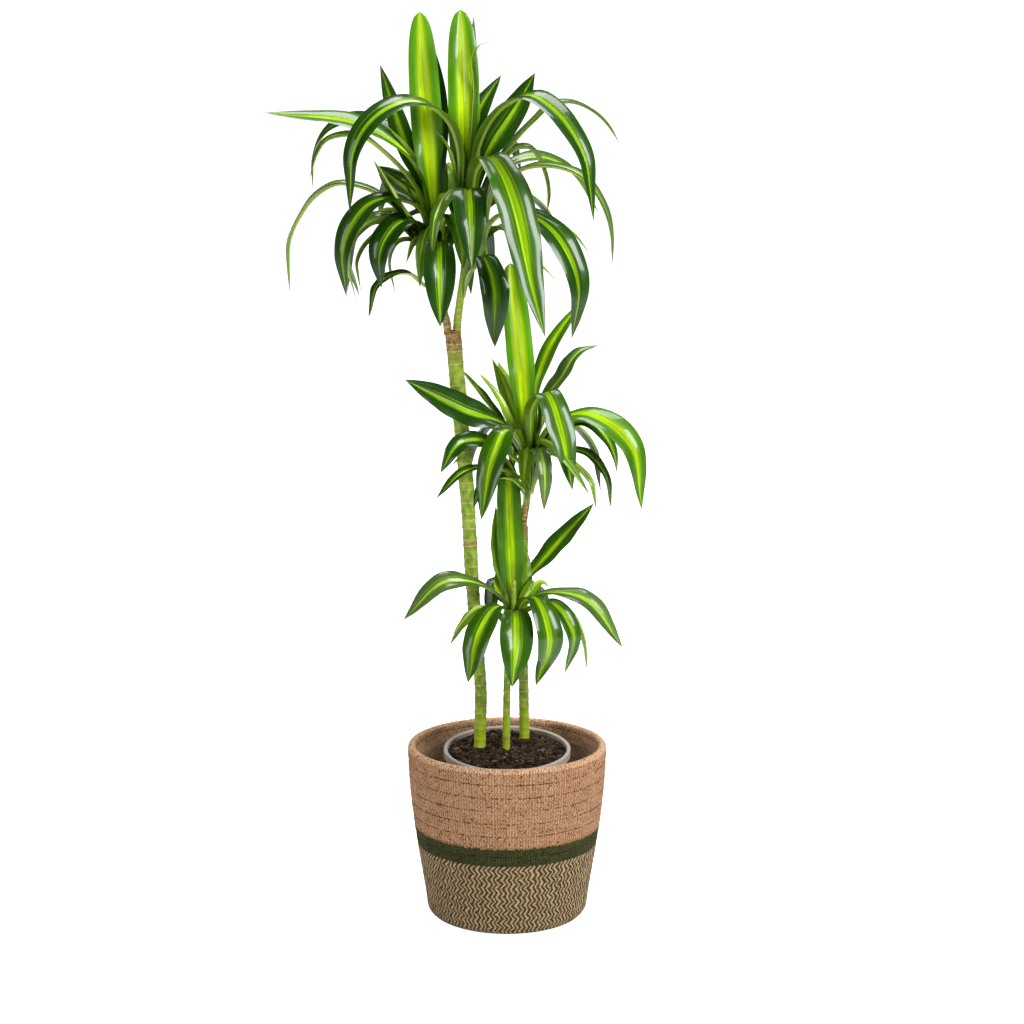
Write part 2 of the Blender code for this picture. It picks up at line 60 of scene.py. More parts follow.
def splineThrough(stations, count):
    # Rows of stations carried along one smooth cubic, spaced evenly by the first three columns.
    steps = np.maximum(np.linalg.norm(np.diff(stations[:, :3], axis=0), axis=1), 1e-6)
    place = np.concatenate([[0], np.cumsum(steps)])
    slopes = np.gradient(stations, place, axis=0)
    at = np.linspace(0, place[-1], count)
    span = np.clip(np.searchsorted(place, at, side="right") - 1, 0, len(steps) - 1)
    size = steps[span][:, None]
    t = (at[:, None] - place[span][:, None]) / size
    return ((2 * t**3 - 3 * t**2 + 1) * stations[span] + (t**3 - 2 * t**2 + t) * size * slopes[span]
            + (3 * t**2 - 2 * t**3) * stations[span + 1] + (t**3 - t**2) * size * slopes[span + 1])


def gridFaces(rows, columns, closed):
    # Corner numbers of the quads between neighbouring rows and columns of a grid.
    row, column = np.mgrid[0:rows - 1, 0:columns if closed else columns - 1]
    nextColumn = (column + 1) % columns
    quads = [row * columns + column, row * columns + nextColumn,
             (row + 1) * columns + nextColumn, (row + 1) * columns + column]
    return np.stack(quads, axis=-1).reshape(-1, 4)


def makePiece(name, places, faces, material, slot=None, replaced=(), values=None, uvs=None, sharp=40):
    # A mesh object from arrays. values are named numbers on its points, uvs a pair for each corner.
    mesh = bpy.data.meshes.new(name)
    mesh.from_pydata(np.asarray(places, float).tolist(), [], [list(map(int, face)) for face in faces])
    for key, numbers in (values or {}).items():
        layer = mesh.attributes.new(key, "FLOAT", "POINT")
        layer.data.foreach_set("value", np.asarray(numbers, np.float32).ravel())
    if uvs is not None:
        mesh.uv_layers.new(name="pattern").data.foreach_set("uv", np.asarray(uvs, np.float32).ravel())
    mesh.shade_smooth()
    mesh.set_sharp_from_angle(angle=math.radians(sharp))
    mesh.materials.append(material)
    piece = bpy.data.objects.new(name, mesh)
    bpy.context.scene.collection.objects.link(piece)
    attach(piece, "root")
    if replaced:
        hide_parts(*replaced)
    return piece


def cappedTube(rings):
    # Points and faces of rings carried along a path, closed at both ends by a middle point.
    rows, columns = rings.shape[:2]
    faces = gridFaces(rows, columns, closed=True)
    around = np.arange(columns)
    first, last = rows * columns, rows * columns + 1
    startFan = np.stack([np.full(columns, first), (around + 1) % columns, around], axis=-1)
    low = (rows - 1) * columns
    endFan = np.stack([np.full(columns, last), low + around, low + (around + 1) % columns], axis=-1)
    places = np.concatenate([rings.reshape(-1, 3), rings[:1].mean(1), rings[-1:].mean(1)])
    return places, list(map(list, faces)) + list(map(list, startFan)) + list(map(list, endFan))


def mergedRings(node):
    # A CAD node's points without doubles, and who neighbours whom.
    mesh = node.data
    places = np.array([point.co[:] for point in mesh.vertices])
    _, first, number = np.unique(np.round(places, 6), axis=0, return_index=True, return_inverse=True)
    number = number.ravel()
    pairs = np.array([edge.vertices[:] for edge in mesh.edges])
    return places[first], number[pairs]


def linear(red, green, blue):
    # A screen colour of 0 to 255 a channel as the shader's linear one.
    channels = np.array([red, green, blue]) / 255
    return (*np.where(channels < 0.04, channels / 12.92, ((channels + 0.055) / 1.055) ** 2.4).tolist(), 1)


class Nodes:
    # Short ways to add and join shader nodes in one tree.

    def __init__(self, tree):
        self.tree = tree

    def add(self, kind, output=0, settings=None, **inputs):
        # A node with its inputs set or joined, each by its name or as n and its number.
        node = self.tree.nodes.new(kind)
        for key, value in (settings or {}).items():
            setattr(node, key, value)
        for key, value in inputs.items():
            socket = node.inputs[int(key[1:])] if key[1:].isdigit() else node.inputs[key.replace("_", " ")]
            self.put(socket, value)
        return node.outputs[output]

    def put(self, socket, value):
        # Joins another node's output to a socket, or sets its value.
        if isinstance(value, bpy.types.NodeSocket):
            self.tree.links.new(value, socket)
        else:
            socket.default_value = value

    def math(self, operation, first, second=0.0):
        return self.add("ShaderNodeMath", settings=dict(operation=operation), n0=first, n1=second)

    def times(self, first, second):
        return self.math("MULTIPLY", first, second)

    def plus(self, first, second):
        return self.math("ADD", first, second)

    def minus(self, first, second):
        return self.math("SUBTRACT", first, second)

    def fade(self, value, low, high, start=0.0, end=1.0):
        # start where the value is low, end where it is high, and an S between.
        return self.add("ShaderNodeMapRange", settings=dict(interpolation_type="SMOOTHSTEP"), n0=value,
                        n1=low, n2=high, n3=start, n4=end)

    def mix(self, share, first, second, blend="MIX"):
        settings = dict(data_type="RGBA", blend_type=blend)
        return self.add("ShaderNodeMix", output=2, settings=settings, n0=share, n6=first, n7=second)

    def noise(self, vector, scale, detail=3.0, roughness=0.5):
        return self.add("ShaderNodeTexNoise", Vector=vector, Scale=scale, Detail=detail,
                        Roughness=roughness)

    def centred(self, value, size):
        # A noise value swung about 0 instead of about 0.5, and sized.
        return self.times(self.minus(value, 0.5), size)

    def fromMiddle(self, value):
        # How far a number's fraction lies from one half: 0 to 0.5.
        return self.math("ABSOLUTE", self.minus(self.math("FRACT", value), 0.5))

    def shaded(self, colour, shade):
        # A colour made lighter or darker by one number.
        return self.mix(1.0, colour, self.joined(shade, shade, shade), blend="MULTIPLY")

    def value(self, name):
        return self.add("ShaderNodeAttribute", output=2, settings=dict(attribute_name=name))

    def joined(self, x, y, z=0.0):
        return self.add("ShaderNodeCombineXYZ", n0=x, n1=y, n2=z)


def startMaterial(name, **fixed):
    # A material, the short ways into its tree, its Principled shader and object coordinates.
    material = bpy.data.materials.new(name)
    material.use_nodes = True
    shader = material.node_tree.nodes["Principled BSDF"]
    for key, value in fixed.items():
        shader.inputs[key.replace("_", " ")].default_value = value
    nodes = Nodes(material.node_tree)
    where = nodes.add("ShaderNodeTexCoord", output=3)
    return material, nodes, shader, where


def finishMaterial(nodes, shader, colour, roughness, relief, strength, depth):
    # Joins what changes over the surface to the shader: colour, roughness and small relief.
    nodes.put(shader.inputs["Base Color"], colour)
    nodes.put(shader.inputs["Roughness"], roughness)
    bump = nodes.add("ShaderNodeBump", Strength=strength, Distance=depth, Height=relief)
    nodes.put(shader.inputs["Normal"], bump)


def startGroup(name, inputs, outputs):
    # A node group with named float, vector or colour sockets.
    group = bpy.data.node_groups.new(name, "ShaderNodeTree")
    for direction, sockets in (("INPUT", inputs), ("OUTPUT", outputs)):
        for label, kind in sockets:
            group.interface.new_socket(name=label, in_out=direction, socket_type="NodeSocket" + kind)
    nodes = Nodes(group)
    entry = group.nodes.new("NodeGroupInput")
    leave = group.nodes.new("NodeGroupOutput")
    return group, nodes, entry.outputs, leave.inputs


def makeStreaksGroup():
    # Fine streaks that run along a blade or stem: across is stretched, along is not.
    group, nodes, given, out = startGroup(
        "growthStreaks", [("Across", "Float"), ("Along", "Float"), ("Seed", "Float"), ("Count", "Float")],
        [("Streak", "Float"), ("Cloud", "Float")])
    stretched = nodes.times(given["Across"], given["Count"])
    fine = nodes.joined(stretched, given["Along"], given["Seed"])
    nodes.put(out["Streak"], nodes.noise(fine, 1.0, detail=2.0))
    broad = nodes.joined(given["Across"], nodes.times(given["Along"], 2.5), given["Seed"])
    nodes.put(out["Cloud"], nodes.noise(broad, 1.3, detail=2.0))
    return group


def makeFibreGroup():
    # Tangled short fibres of twisted paper or bark: two stretched noises laid across each other.
    group, nodes, given, out = startGroup(
        "fibres", [("Vector", "Vector"), ("Scale", "Float")], [("Tangle", "Float"), ("Speck", "Float")])
    layers = []
    for lean in (0.6, -0.7):
        laid = nodes.add("ShaderNodeMapping", Vector=given["Vector"], Rotation=(0.0, lean, 0.0),
                         Scale=(1, 1, 3))
        layers.append(nodes.noise(laid, given["Scale"], detail=2.0))
    nodes.put(out["Tangle"], nodes.math("MAXIMUM", *layers))
    coarse = nodes.times(given["Scale"], 0.6)
    nodes.put(out["Speck"], nodes.noise(given["Vector"], coarse, detail=1.0))
    return group


streaksGroup = makeStreaksGroup()
fibreGroup = makeFibreGroup()


def useGroup(nodes, group, outputs, **inputs):
    # Places a group in a material and gives the named outputs back in order.
    node = nodes.tree.nodes.new("ShaderNodeGroup")
    node.node_tree = group
    for key, value in inputs.items():
        nodes.put(node.inputs[key], value)
    return [node.outputs[name] for name in outputs]


leafFinish = dict(
    darkMargin=linear(18, 60, 0), freshMargin=linear(84, 144, 0),
    oldStripe=linear(142, 190, 0), freshStripe=linear(184, 218, 4),
    # The under colours: the real paler underside, painted brighter as if light shone through the blade from
    # behind.
    litDarkUnder=linear(96, 138, 24), litFreshUnder=linear(158, 204, 24), litUnderStripe=linear(196, 214, 96),
    # pale is painted sheen and backlight, laid over whole blades of the pale and grey looks.
    pale=linear(136, 160, 92), foot=linear(150, 178, 50), dryTip=linear(112, 92, 62),
    edge=linear(110, 146, 44), gloss=0.24,
)


def makeLeafMaterial():
    # Dark margins, a crisp lime stripe with thin lines beside it, an underside that is paler and also
    # painted brighter as if lit through from behind, painted sheen on pale and grey blades, and a dry tip.
    material, nodes, shader, _ = startMaterial("striped_leaf", Specular_IOR_Level=0.3, Coat_Weight=0.45,
                                               Coat_Roughness=0.07)
    finish = leafFinish
    across, along, seed = nodes.value("across"), nodes.value("along"), nodes.value("seed")
    growth = dict(Across=across, Along=along, Seed=seed)
    streak, cloud = useGroup(nodes, streaksGroup, ["Streak", "Cloud"], Count=12.0, **growth)
    fine, = useGroup(nodes, streaksGroup, ["Streak"], Count=34.0, **growth)
    wander = nodes.centred(streak, 0.2)
    aside = nodes.plus(nodes.math("ABSOLUTE", across), wander)
    half, fresh = nodes.value("stripe"), nodes.value("fresh")
    stripe = nodes.fade(aside, nodes.plus(half, 0.025), nodes.minus(half, 0.025))
    margin = nodes.mix(fresh, finish["darkMargin"], finish["freshMargin"])
    lime = nodes.mix(fresh, finish["oldStripe"], finish["freshStripe"])
    halo = nodes.fade(aside, nodes.plus(half, 0.3), half, 0.0, nodes.times(fresh, 0.6))
    colour = nodes.mix(halo, margin, lime)
    lines = nodes.fade(aside, nodes.plus(half, 0.34), nodes.plus(half, 0.12))
    lines = nodes.times(lines, nodes.fade(fine, 0.56, 0.62, 0.0, 0.6))
    colour = nodes.mix(nodes.math("MAXIMUM", stripe, lines), colour, lime)
    rim = nodes.fade(nodes.math("ABSOLUTE", across), 0.96, 1.0, 0.0, 0.5)
    colour = nodes.mix(rim, colour, finish["edge"])
    # The underside: paler than the top, and painted brighter still, as if lit through from behind.
    underside = nodes.mix(fresh, finish["litDarkUnder"], finish["litFreshUnder"])
    underside = nodes.mix(nodes.times(stripe, 0.7), underside, finish["litUnderStripe"])
    colour = nodes.mix(nodes.times(nodes.value("under"), 0.85), colour, underside)
    # Painted sheen and backlight: pale and grey blades are washed towards a pale grey green, stripe and
    # all.
    pale = nodes.mix(stripe, finish["pale"], finish["litUnderStripe"])
    colour = nodes.mix(nodes.value("pale"), colour, pale)
    clouds, streaks = nodes.fade(cloud, 0.3, 0.7, 0.72, 1.2), nodes.fade(fine, 0.3, 0.7, 0.9, 1.08)
    colour = nodes.shaded(colour, nodes.times(clouds, streaks))
    colour = nodes.mix(nodes.fade(along, 0.14, 0.02, 0.0, 0.7), colour, finish["foot"])
    tip = nodes.fade(nodes.plus(along, nodes.times(wander, 0.1)), 0.97, 0.995)
    dry = nodes.times(tip, nodes.minus(1.0, fresh))
    colour = nodes.mix(dry, colour, finish["dryTip"])
    roughness = nodes.fade(fine, 0.2, 0.8, finish["gloss"], finish["gloss"] + 0.12)
    finishMaterial(nodes, shader, colour, roughness, fine, strength=0.2, depth=0.0006)
    return material


leafMaterial = makeLeafMaterial()
leafShape = dict(
    rows=46, halfColumns=7, thickness=0.0007, crown=0.10, groove=0.06, ripple=0.035, widen=1.04,
    solidRings=10,  # rings of six points that the solid blade has below its tip
)


def nearest(places):
    # For each place, the number of the other place nearest to it.
    apart = np.linalg.norm(places[:, None] - places[None], axis=-1) + np.eye(len(places))
    return apart.argmin(1)


def stepsFrom(starts, pairs, count):
    # How many steps along edges each point lies from the starting points, or -1 where none leads.
    steps = np.full(count, -1)
    steps[starts] = 0
    ring = 0
    while (steps < 0).any():
        near = np.unique(pairs[np.isin(pairs, np.flatnonzero(steps == ring)).any(1)])
        near = near[steps[near] < 0]
        if len(near) == 0:
            break
        ring += 1
        steps[near] = ring
    return steps


def ringNumbers(name, places, pairs):
    # Each point's ring, counted from the tip: the two points of the tip are the only pair from
    # which every later ring has six points.
    partner = nearest(places)
    rings = leafShape["solidRings"]
    for start in range(len(places)):
        steps = stepsFrom([start, partner[start]], pairs, len(places))
        sizes = np.bincount(steps[steps >= 0])
        if steps.max() == rings and sizes[0] == 2 and (sizes[1:] == 6).all():
            return steps
    raise ValueError("no tip found on " + name)


def leafStations(node):
    # The CAD blade read back as stations from foot to tip: midrib, left edge and right edge. Its
    # points lie in rings of six, three above three, and the two points of the tip end it.
    places, pairs = mergedRings(node)
    steps = ringNumbers(node.name, places, pairs)
    rows = []
    for ring in range(leafShape["solidRings"], 0, -1):
        six = places[steps == ring]
        middles = np.array([(six[a] + six[b]) / 2 for a, b in enumerate(nearest(six)) if a < b])
        spread = np.linalg.norm(middles[:, None] - middles[None], axis=-1).sum(1)
        left, right = np.delete(middles, spread.argmin(), axis=0)
        if rows and np.dot(right - left, rows[-1][2] - rows[-1][1]) < 0:
            left, right = right, left
        rows.append([middles[spread.argmin()], left, right])
    rows.append([places[steps == 0].mean(0)] * 3)
    rows = np.array(rows)
    third, fourth = rows[3], rows[4]
    face = np.cross(fourth[0] - third[0], third[2] - third[1])
    if np.dot(face, third[1:].mean(0) - third[0]) > 0:  # the halves rise, so the face looks down
        rows = rows[:, [0, 2, 1]]
    return rows


def bodyAxis(name, height):
    # The middle of a leaf's own shoot at a height.
    route = shootRoutes[name.replace("leaf", "shoot")[:-3]]
    return np.array([np.interp(height, route[:, 2], route[:, axis]) for axis in range(3)])


def stemRoute(node):
    # A CAD stem read back as rings: each ring's middle and radius, from the lowest up.
    places, _ = mergedRings(node)
    order = places[places[:, 2].argsort()]
    cuts = np.flatnonzero(np.diff(order[:, 2]) > 0.004) + 1
    rings = [ring for ring in np.split(order, cuts) if len(ring) > 3]
    return np.array([[*ring.mean(0), np.linalg.norm(ring - ring.mean(0), axis=1).max()] for ring in rings])


shootNames = ["shoot_top_right", "shoot_top_left", "shoot_middle", "shoot_low"]
caneNames = ["cane_tall", "cane_mid", "cane_short"]
shootRoutes = {name: stemRoute(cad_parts[name]) for name in shootNames}
caneRoutes = {name: stemRoute(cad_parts[name]) for name in caneNames}


def withSheath(name, rows):
    # The stations with two more ahead of the blade's foot, where it wraps the shoot below.
    foot = rows[0, 0]
    side = unit(rows[0, 2] - rows[0, 1])
    extra = []
    for drop, nearness, half in ((0.022, 0.55, 0.0045), (0.010, 0.66, 0.0055)):
        axis = bodyAxis(name, foot[2] - drop)
        axis[2] = foot[2] - drop
        out = foot - bodyAxis(name, foot[2])
        out[2] = 0
        middle = axis + out * nearness
        wrap = unit(-out) * half * 0.55
        extra.append([middle, middle - side * half + wrap, middle + side * half + wrap])
    return np.concatenate([np.array(extra), rows])


def turnedToFront(rows, lean):
    # Turns each station about the way the leaf grows, by a share of the angle between its upper
    # face and the front, more and more from the foot on.
    forward = unit(np.gradient(rows[:, 0], axis=0))
    halfVector = (rows[:, 2] - rows[:, 1]) / 2
    halfVector[-1] = halfVector[-2] * 0.01
    up = unit(np.cross(unit(halfVector), forward))
    front = np.array([0.0, -1.0, 0.15])
    target = unit(front - (forward @ front)[:, None] * forward)
    angle = np.arctan2((np.cross(up, target) * forward).sum(1), (up * target).sum(1))
    angle = np.clip(angle * lean, -1.2, 1.2) * smoothStep(0.3, 0.7, np.linspace(0, 1, len(rows)))
    sides = rows[:, 1:] - rows[:, :1]
    axis = np.broadcast_to(forward[:, None], sides.shape)
    turn = angle[:, None, None]
    turned = (sides * np.cos(turn) + np.cross(axis, sides) * np.sin(turn)
              + axis * (axis * sides).sum(-1, keepdims=True) * (1 - np.cos(turn)))
    return np.concatenate([rows[:, :1], rows[:, :1] + turned], axis=1)


def bladeLift(across, along, halfWidth, seed):
    # What stands off the folded blade: a crown on each half, a groove at the midrib and a ripple
    # that grows towards the edges, all in half-widths.
    shape = leafShape
    draw = np.random.default_rng(seed)
    phases = draw.uniform(0, 2 * math.pi, 4)
    waves = draw.uniform(3, 6, 2)
    aside = np.abs(across)
    crown = shape["crown"] * 4 * aside * (1 - aside)
    groove = shape["groove"] * np.exp(-((across / 0.07) ** 2))
    edgeWave = np.where(across > 0, np.sin(2 * math.pi * waves[0] * along + phases[0]),
                        np.sin(2 * math.pi * waves[1] * along + phases[1]))
    ripple = shape["ripple"] * edgeWave * aside**2.5 * smoothStep(0.1, 0.35, along)
    return (crown - groove + ripple) * halfWidth


def bladeThickness(across, halfWidth):
    # Thickest at the midrib, fading to the edges, and thinner where the whole blade is narrow.
    share = np.sqrt(1 - across**2) * (1 + 1.6 * np.exp(-((across / 0.1) ** 2)))
    return (leafShape["thickness"] * share + 0.00002) * np.clip(halfWidth / 0.004, 0.25, 1)


def bladeSurface(rows, look, seed):
    # A closed thin blade over its stations. Across is -1 to 1 from edge to edge. A point is the
    # midrib, plus across times the half-width vector, plus the V fold, plus the lift. The underside
    # is the same, lower by the thickness.
    count = leafShape["rows"]
    rows = turnedToFront(rows, look.get("lean", 0.0))
    flat = splineThrough(rows.reshape(len(rows), 9), count).reshape(count, 3, 3)
    middle, left, right = flat[:, 0], flat[:, 1], flat[:, 2]
    along = np.linspace(0, 1, count)[:, None]
    halfVector = (right - left) / 2 * leafShape["widen"]
    halfWidth = np.linalg.norm(halfVector, axis=1)[:, None]
    if "upright" in look:  # an even width and a round tip
        wanted = halfWidth.max() * (0.55 + 0.45 * smoothStep(0.0, 0.4, along)) * np.sqrt(1 - along**7)
        wanted = wanted * look["upright"]
        halfVector = halfVector * wanted / np.maximum(halfWidth, 0.0005)
        halfWidth = wanted
    forward = unit(np.gradient(middle, axis=0))
    up = unit(np.cross(unit(halfVector), forward))
    up = np.where(halfWidth > 0.0004, up, up[-4])
    fold = (left + right) / 2 - middle
    even = np.linspace(-1, 1, 2 * leafShape["halfColumns"] + 1)
    across = np.sin(even * math.pi / 2) * 0.35 + even * 0.65
    lift = bladeLift(across, along, halfWidth, seed)
    top = (middle[:, None] + halfVector[:, None] * across[:, None]
           + fold[:, None] * np.abs(across)[:, None] ** 1.25 + up[:, None] * lift[..., None])
    bottom = top - up[:, None] * bladeThickness(across, halfWidth)[..., None]
    rings = np.concatenate([top, bottom[:, -2:0:-1]], axis=1)
    ringAcross = np.concatenate([across, across[-2:0:-1]])
    under = np.concatenate([np.zeros(len(across)), np.ones(len(across) - 2)])
    return rings, ringAcross, under, along.ravel()


def addLeaf(name, rows, look, seed, replaced=()):
    # A blade with the numbers that its material reads: place across and along, side, stripe and look.
    rings, across, under, along = bladeSurface(rows, look, seed)
    places, faces = cappedTube(rings)
    count, columns = rings.shape[:2]
    stripe = look["stripe"] * (1 - 0.5 * smoothStep(0.6, 1.0, along))
    values = {
        "across": np.concatenate([np.tile(across, count), [0, 0]]),
        "along": np.concatenate([np.repeat(along, columns), [0, 1]]),
        "under": np.concatenate([np.tile(under, count), [0, 0]]),
        "stripe": np.concatenate([np.repeat(stripe, columns), [look["stripe"]] * 2]),
        "fresh": np.full(len(places), look["fresh"]),
        "pale": np.full(len(places), look["pale"]),
        "seed": np.full(len(places), seed * 3.7),
    }
    return makePiece(name, places, faces, leafMaterial, "leaf_blade", replaced, values, sharp=60)


# Looks a leaf can have: how fresh its green is, how much painted sheen and backlight wash it pale, and its
# stripe's half-width.
leafLooks = {
    "young": dict(fresh=1.0, pale=0.0, stripe=0.32),
    "bright": dict(fresh=0.55, pale=0.0, stripe=0.23),
    "green": dict(fresh=0.23, pale=0.0, stripe=0.19),
    "dark": dict(fresh=0.06, pale=0.0, stripe=0.16),
    "deep": dict(fresh=0.0, pale=0.0, stripe=0.08),
    "grey": dict(fresh=0.16, pale=0.26, stripe=0.14),
    "pale": dict(fresh=0.5, pale=0.6, stripe=0.2),
}
leafKinds = {
    "leaf_top_right": "young dark dark grey dark dark grey grey green dark grey dark dark deep",
    "leaf_top_left": "young dark bright green dark green bright dark deep grey dark grey dark",
    "leaf_middle": "young bright grey green dark green green bright dark dark dark green grey dark",
    "leaf_low": "bright green grey grey green green green green",
}
# Leaves whose upper face turns to the front, and by what share of the way.
leafLeans = {
    "leaf_top_right": {5: 0.2, 6: 0.15, 8: 0.3, 9: 0.25, 12: 0.3, 13: 0.4},
    "leaf_top_left": {3: 0.2, 6: 0.15, 8: 0.3, 9: 0.3, 12: 0.3},
    "leaf_middle": {4: 0.2, 8: 0.35, 12: 0.3, 13: 0.2},
    "leaf_low": {3: 0.35, 4: 0.4, 8: 0.3},
}
# Upright leaves of an even width with a round tip, and their width as a share of their solid's.
uprightLeaves = {
    "leaf_top_right_01": 0.98, "leaf_top_left_01": 0.92, "leaf_middle_01": 0.95, "leaf_low_01": 0.85,
}

# Smaller leaves between the large ones, by shoot, in cm: the height where one leaves its shoot, its
# heading in degrees, its width, its look, and its path as reach from the shoot and rise from its start.
smallLeaves = {
    "shoot_top_right": [
        (97.5, 75, 2.2, "deep", (1.5, 8), (3, 15), (4, 20.5)),
        (97, 40, 1.2, "deep", (1.5, 12), (1.8, 17.5), (4, 18)),
        (96, 95, 2.6, "deep", (1, 6), (2, 10), (3.5, 14)),
        (93, 185, 3.2, "bright", (1, 5), (2.5, 9.5), (3.6, 11)),
        (89, 5, 2.0, "green", (4.5, 3), (9.5, 3.5), (13, 2.5), (16, -1)),
        (92, 350, 1.6, "grey", (4.5, 0), (9.5, -4.5), (11.5, -6.5)),
        (84, 330, 1.6, "pale", (1, 2), (3, 3.5), (5, 3)),
        (93, 60, 3.4, "deep", (2, 6), (6, 10), (11, 9), (14, 4)),
        (91, 110, 3.6, "dark", (2, 5), (6, 8), (9.5, 6), (11.5, 0)),
        (90, 30, 3.0, "deep", (2, 4), (7, 6), (12, 3), (14, -4)),
        (88, 75, 3.4, "dark", (2, 3), (6, 4), (10, 0), (12, -7)),
        (91, 240, 2.6, "deep", (1, 4), (3.5, 6), (7, 4), (8.5, -2)),
        (89, 165, 2.8, "deep", (1.5, 3), (5, 5), (9, 3), (11, -4)),
    ],
    "shoot_top_left": [
        (87, 188, 2.4, "pale", (2, 5), (5, 6.5), (7, 6.5), (10, 5), (11.5, 2), (10.5, -4)),
        (87, 196, 2.2, "grey", (2, 4.5), (5, 5.5), (7.5, 5), (10.5, 2), (10.2, -2.5)),
        (86, 182, 2.0, "pale", (3, 4.5), (5, 4.5), (6, 3), (5.6, -2.5)),
        (86, 215, 2.4, "grey", (1.5, 5), (3.5, 5), (5, 2)),
        (87, 165, 2.0, "grey", (1, 6), (2.5, 13), (7, 18)),
        (93, 130, 2.6, "dark", (2, 5), (3.2, 9.5), (5.5, 13.5)),
        (92, 100, 3.4, "deep", (1.5, 5), (4, 9), (8, 9), (10, 5)),
        (90, 125, 3.4, "deep", (2, 4), (6, 8), (11, 7), (14, 1)),
        (88, 160, 3.2, "dark", (2, 3), (6, 6), (11, 3), (12.5, -5)),
        (87, 60, 3.2, "deep", (1.5, 3), (4, 5), (7, 2), (8, -5)),
        (89, 250, 2.4, "deep", (1, 2.5), (3, 3.5), (5.5, 1.5), (6.5, -3.5)),
        (88, 200, 4.4, "dark", (1.5, 2.5), (4.5, 6.5), (8.5, 13)),
    ],
    "shoot_middle": [
        (58, 300, 2.0, "dark", (3, 6), (8, 5.5), (12, 3.5), (15, 1.5)),
        (58, 318, 2.0, "grey", (3, 4.5), (8, 3.5), (10.5, 2), (11.5, -2)),
        (57, 205, 2.2, "green", (4, 5), (6, 6.5), (8, 6.5), (11, 4)),
        (64, 165, 2.6, "bright", (2, 2), (4, 5.5), (6.5, 8)),
        (64, 140, 3.0, "green", (2, 2.5), (4, 6.5), (6, 9.5)),
        (65, 120, 3.0, "bright", (2, 1), (4.5, 4.5), (7.5, 7.5)),
        (64, 95, 2.8, "deep", (1, 0.5), (2, 4.5), (3.5, 9)),
        (59, 352, 2.0, "green", (3, 6), (8, 7.5), (10.5, 7.5), (12, 8)),
        (60, 262, 2.4, "bright", (2.5, 3), (4.5, 1), (6, -1.5)),
        (62, 70, 3.2, "deep", (2, 4), (4.5, 6.5), (7.5, 5), (8.5, -1)),
        (61, 105, 3.2, "dark", (2, 3), (4.5, 5.5), (7.5, 3), (8.5, -4)),
        (60, 140, 3.0, "deep", (2, 3), (6, 5), (10, 1), (11, -6)),
        (60, 35, 3.0, "dark", (2, 3), (6, 5), (10, 2), (11.5, -5)),
    ],
    "shoot_low": [
        (43.5, 140, 3.0, "dark", (1, 1.5), (2.5, 6.5), (3, 11.5)),
        (43, 60, 3.6, "bright", (1, 0.5), (2, 4), (3, 6.5)),
        (43.5, 80, 3.0, "young", (1, 0.5), (2, 2.5), (3, 4.5)),
        (39.5, 208, 3.2, "dark", (2, 2), (5, 3), (7.5, 1), (9, -1.5)),
        (38.5, 345, 2.6, "grey", (2, 3), (5, 4.5), (8, 3.5), (9.5, 1), (10.3, -4.5)),
        (43, 150, 3.0, "young", (1.3, 0.5), (2, 2), (2.6, 3.6)),
        (42, 20, 3.0, "bright", (1.5, 1), (4, 3), (5, 2)),
        (41, 110, 3.0, "deep", (2, 2), (5, 4), (8, 1), (9, -5)),
        (40.5, 60, 3.0, "dark", (2, 2), (5, 3.5), (8, 0.5), (9, -5)),
    ],
}


def smallLeafStations(shoot, height, heading, width, path):
    # Stations of a leaf from its path: the path turns about the shoot by its heading, the half-width
    # swells quickly from the foot and narrows to the tip, and both halves rise in a V.
    route = shootRoutes[shoot]
    start = [np.interp(height * cm, route[:, 2], route[:, side]) for side in (0, 1)] + [height * cm]
    path = np.array([(0.3, -1.2), *path], float) * cm
    heading = math.radians(heading)
    outward = np.array([math.cos(heading), math.sin(heading), 0])
    middle = np.array(start) + path[:, :1] * outward + path[:, 1:] * np.array([0.0, 0.0, 1.0])
    middle = splineThrough(middle, 12)
    along = np.linspace(0, 1, 12)[:, None]
    swell = 0.28 + 0.72 * smoothStep(0.0, 0.4, along)
    half = width / 2 * cm * swell * (1 - along**3.2) + 0.0002
    side = np.array([-outward[1], outward[0], 0])
    up = unit(np.cross(np.broadcast_to(side, middle.shape), unit(np.gradient(middle, axis=0))))
    lift = up * half * 0.35 * (1 - 0.5 * along)
    return np.stack([middle, middle - side * half + lift, middle + side * half + lift], axis=1)


def growLeaves():
    # Every solid blade and every small leaf gets its own seed, by its place in the tables.
    seed = 0
    for group, kinds in leafKinds.items():
        for number, kind in enumerate(kinds.split(), start=1):
            name = f"{group}_{number:02d}"
            seed += 1
            look = dict(leafLooks[kind], lean=leafLeans[group].get(number, 0.0))
            if name in uprightLeaves:
                look["upright"] = uprightLeaves[name]
            rows = withSheath(name, leafStations(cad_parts[name]))
            addLeaf(name.replace("leaf", "blade"), rows, look, seed, [name])
    for shoot, leaves in smallLeaves.items():
        for number, (height, heading, width, kind, *path) in enumerate(leaves, start=1):
            seed += 1
            name = f"{shoot.replace('shoot', 'smallBlade')}_{number:02d}"
            addLeaf(name, smallLeafStations(shoot, height, heading, width, path), leafLooks[kind], seed)


growLeaves()
print("leaves grown")


stemFinish = dict(
    skin=linear(150, 172, 52), lowSkin=linear(176, 206, 18), shadeSkin=linear(104, 134, 34),
    scar=linear(206, 180, 128), wood=linear(176, 132, 84), darkWood=linear(104, 72, 44),
    shootSkin=linear(146, 178, 52),
)


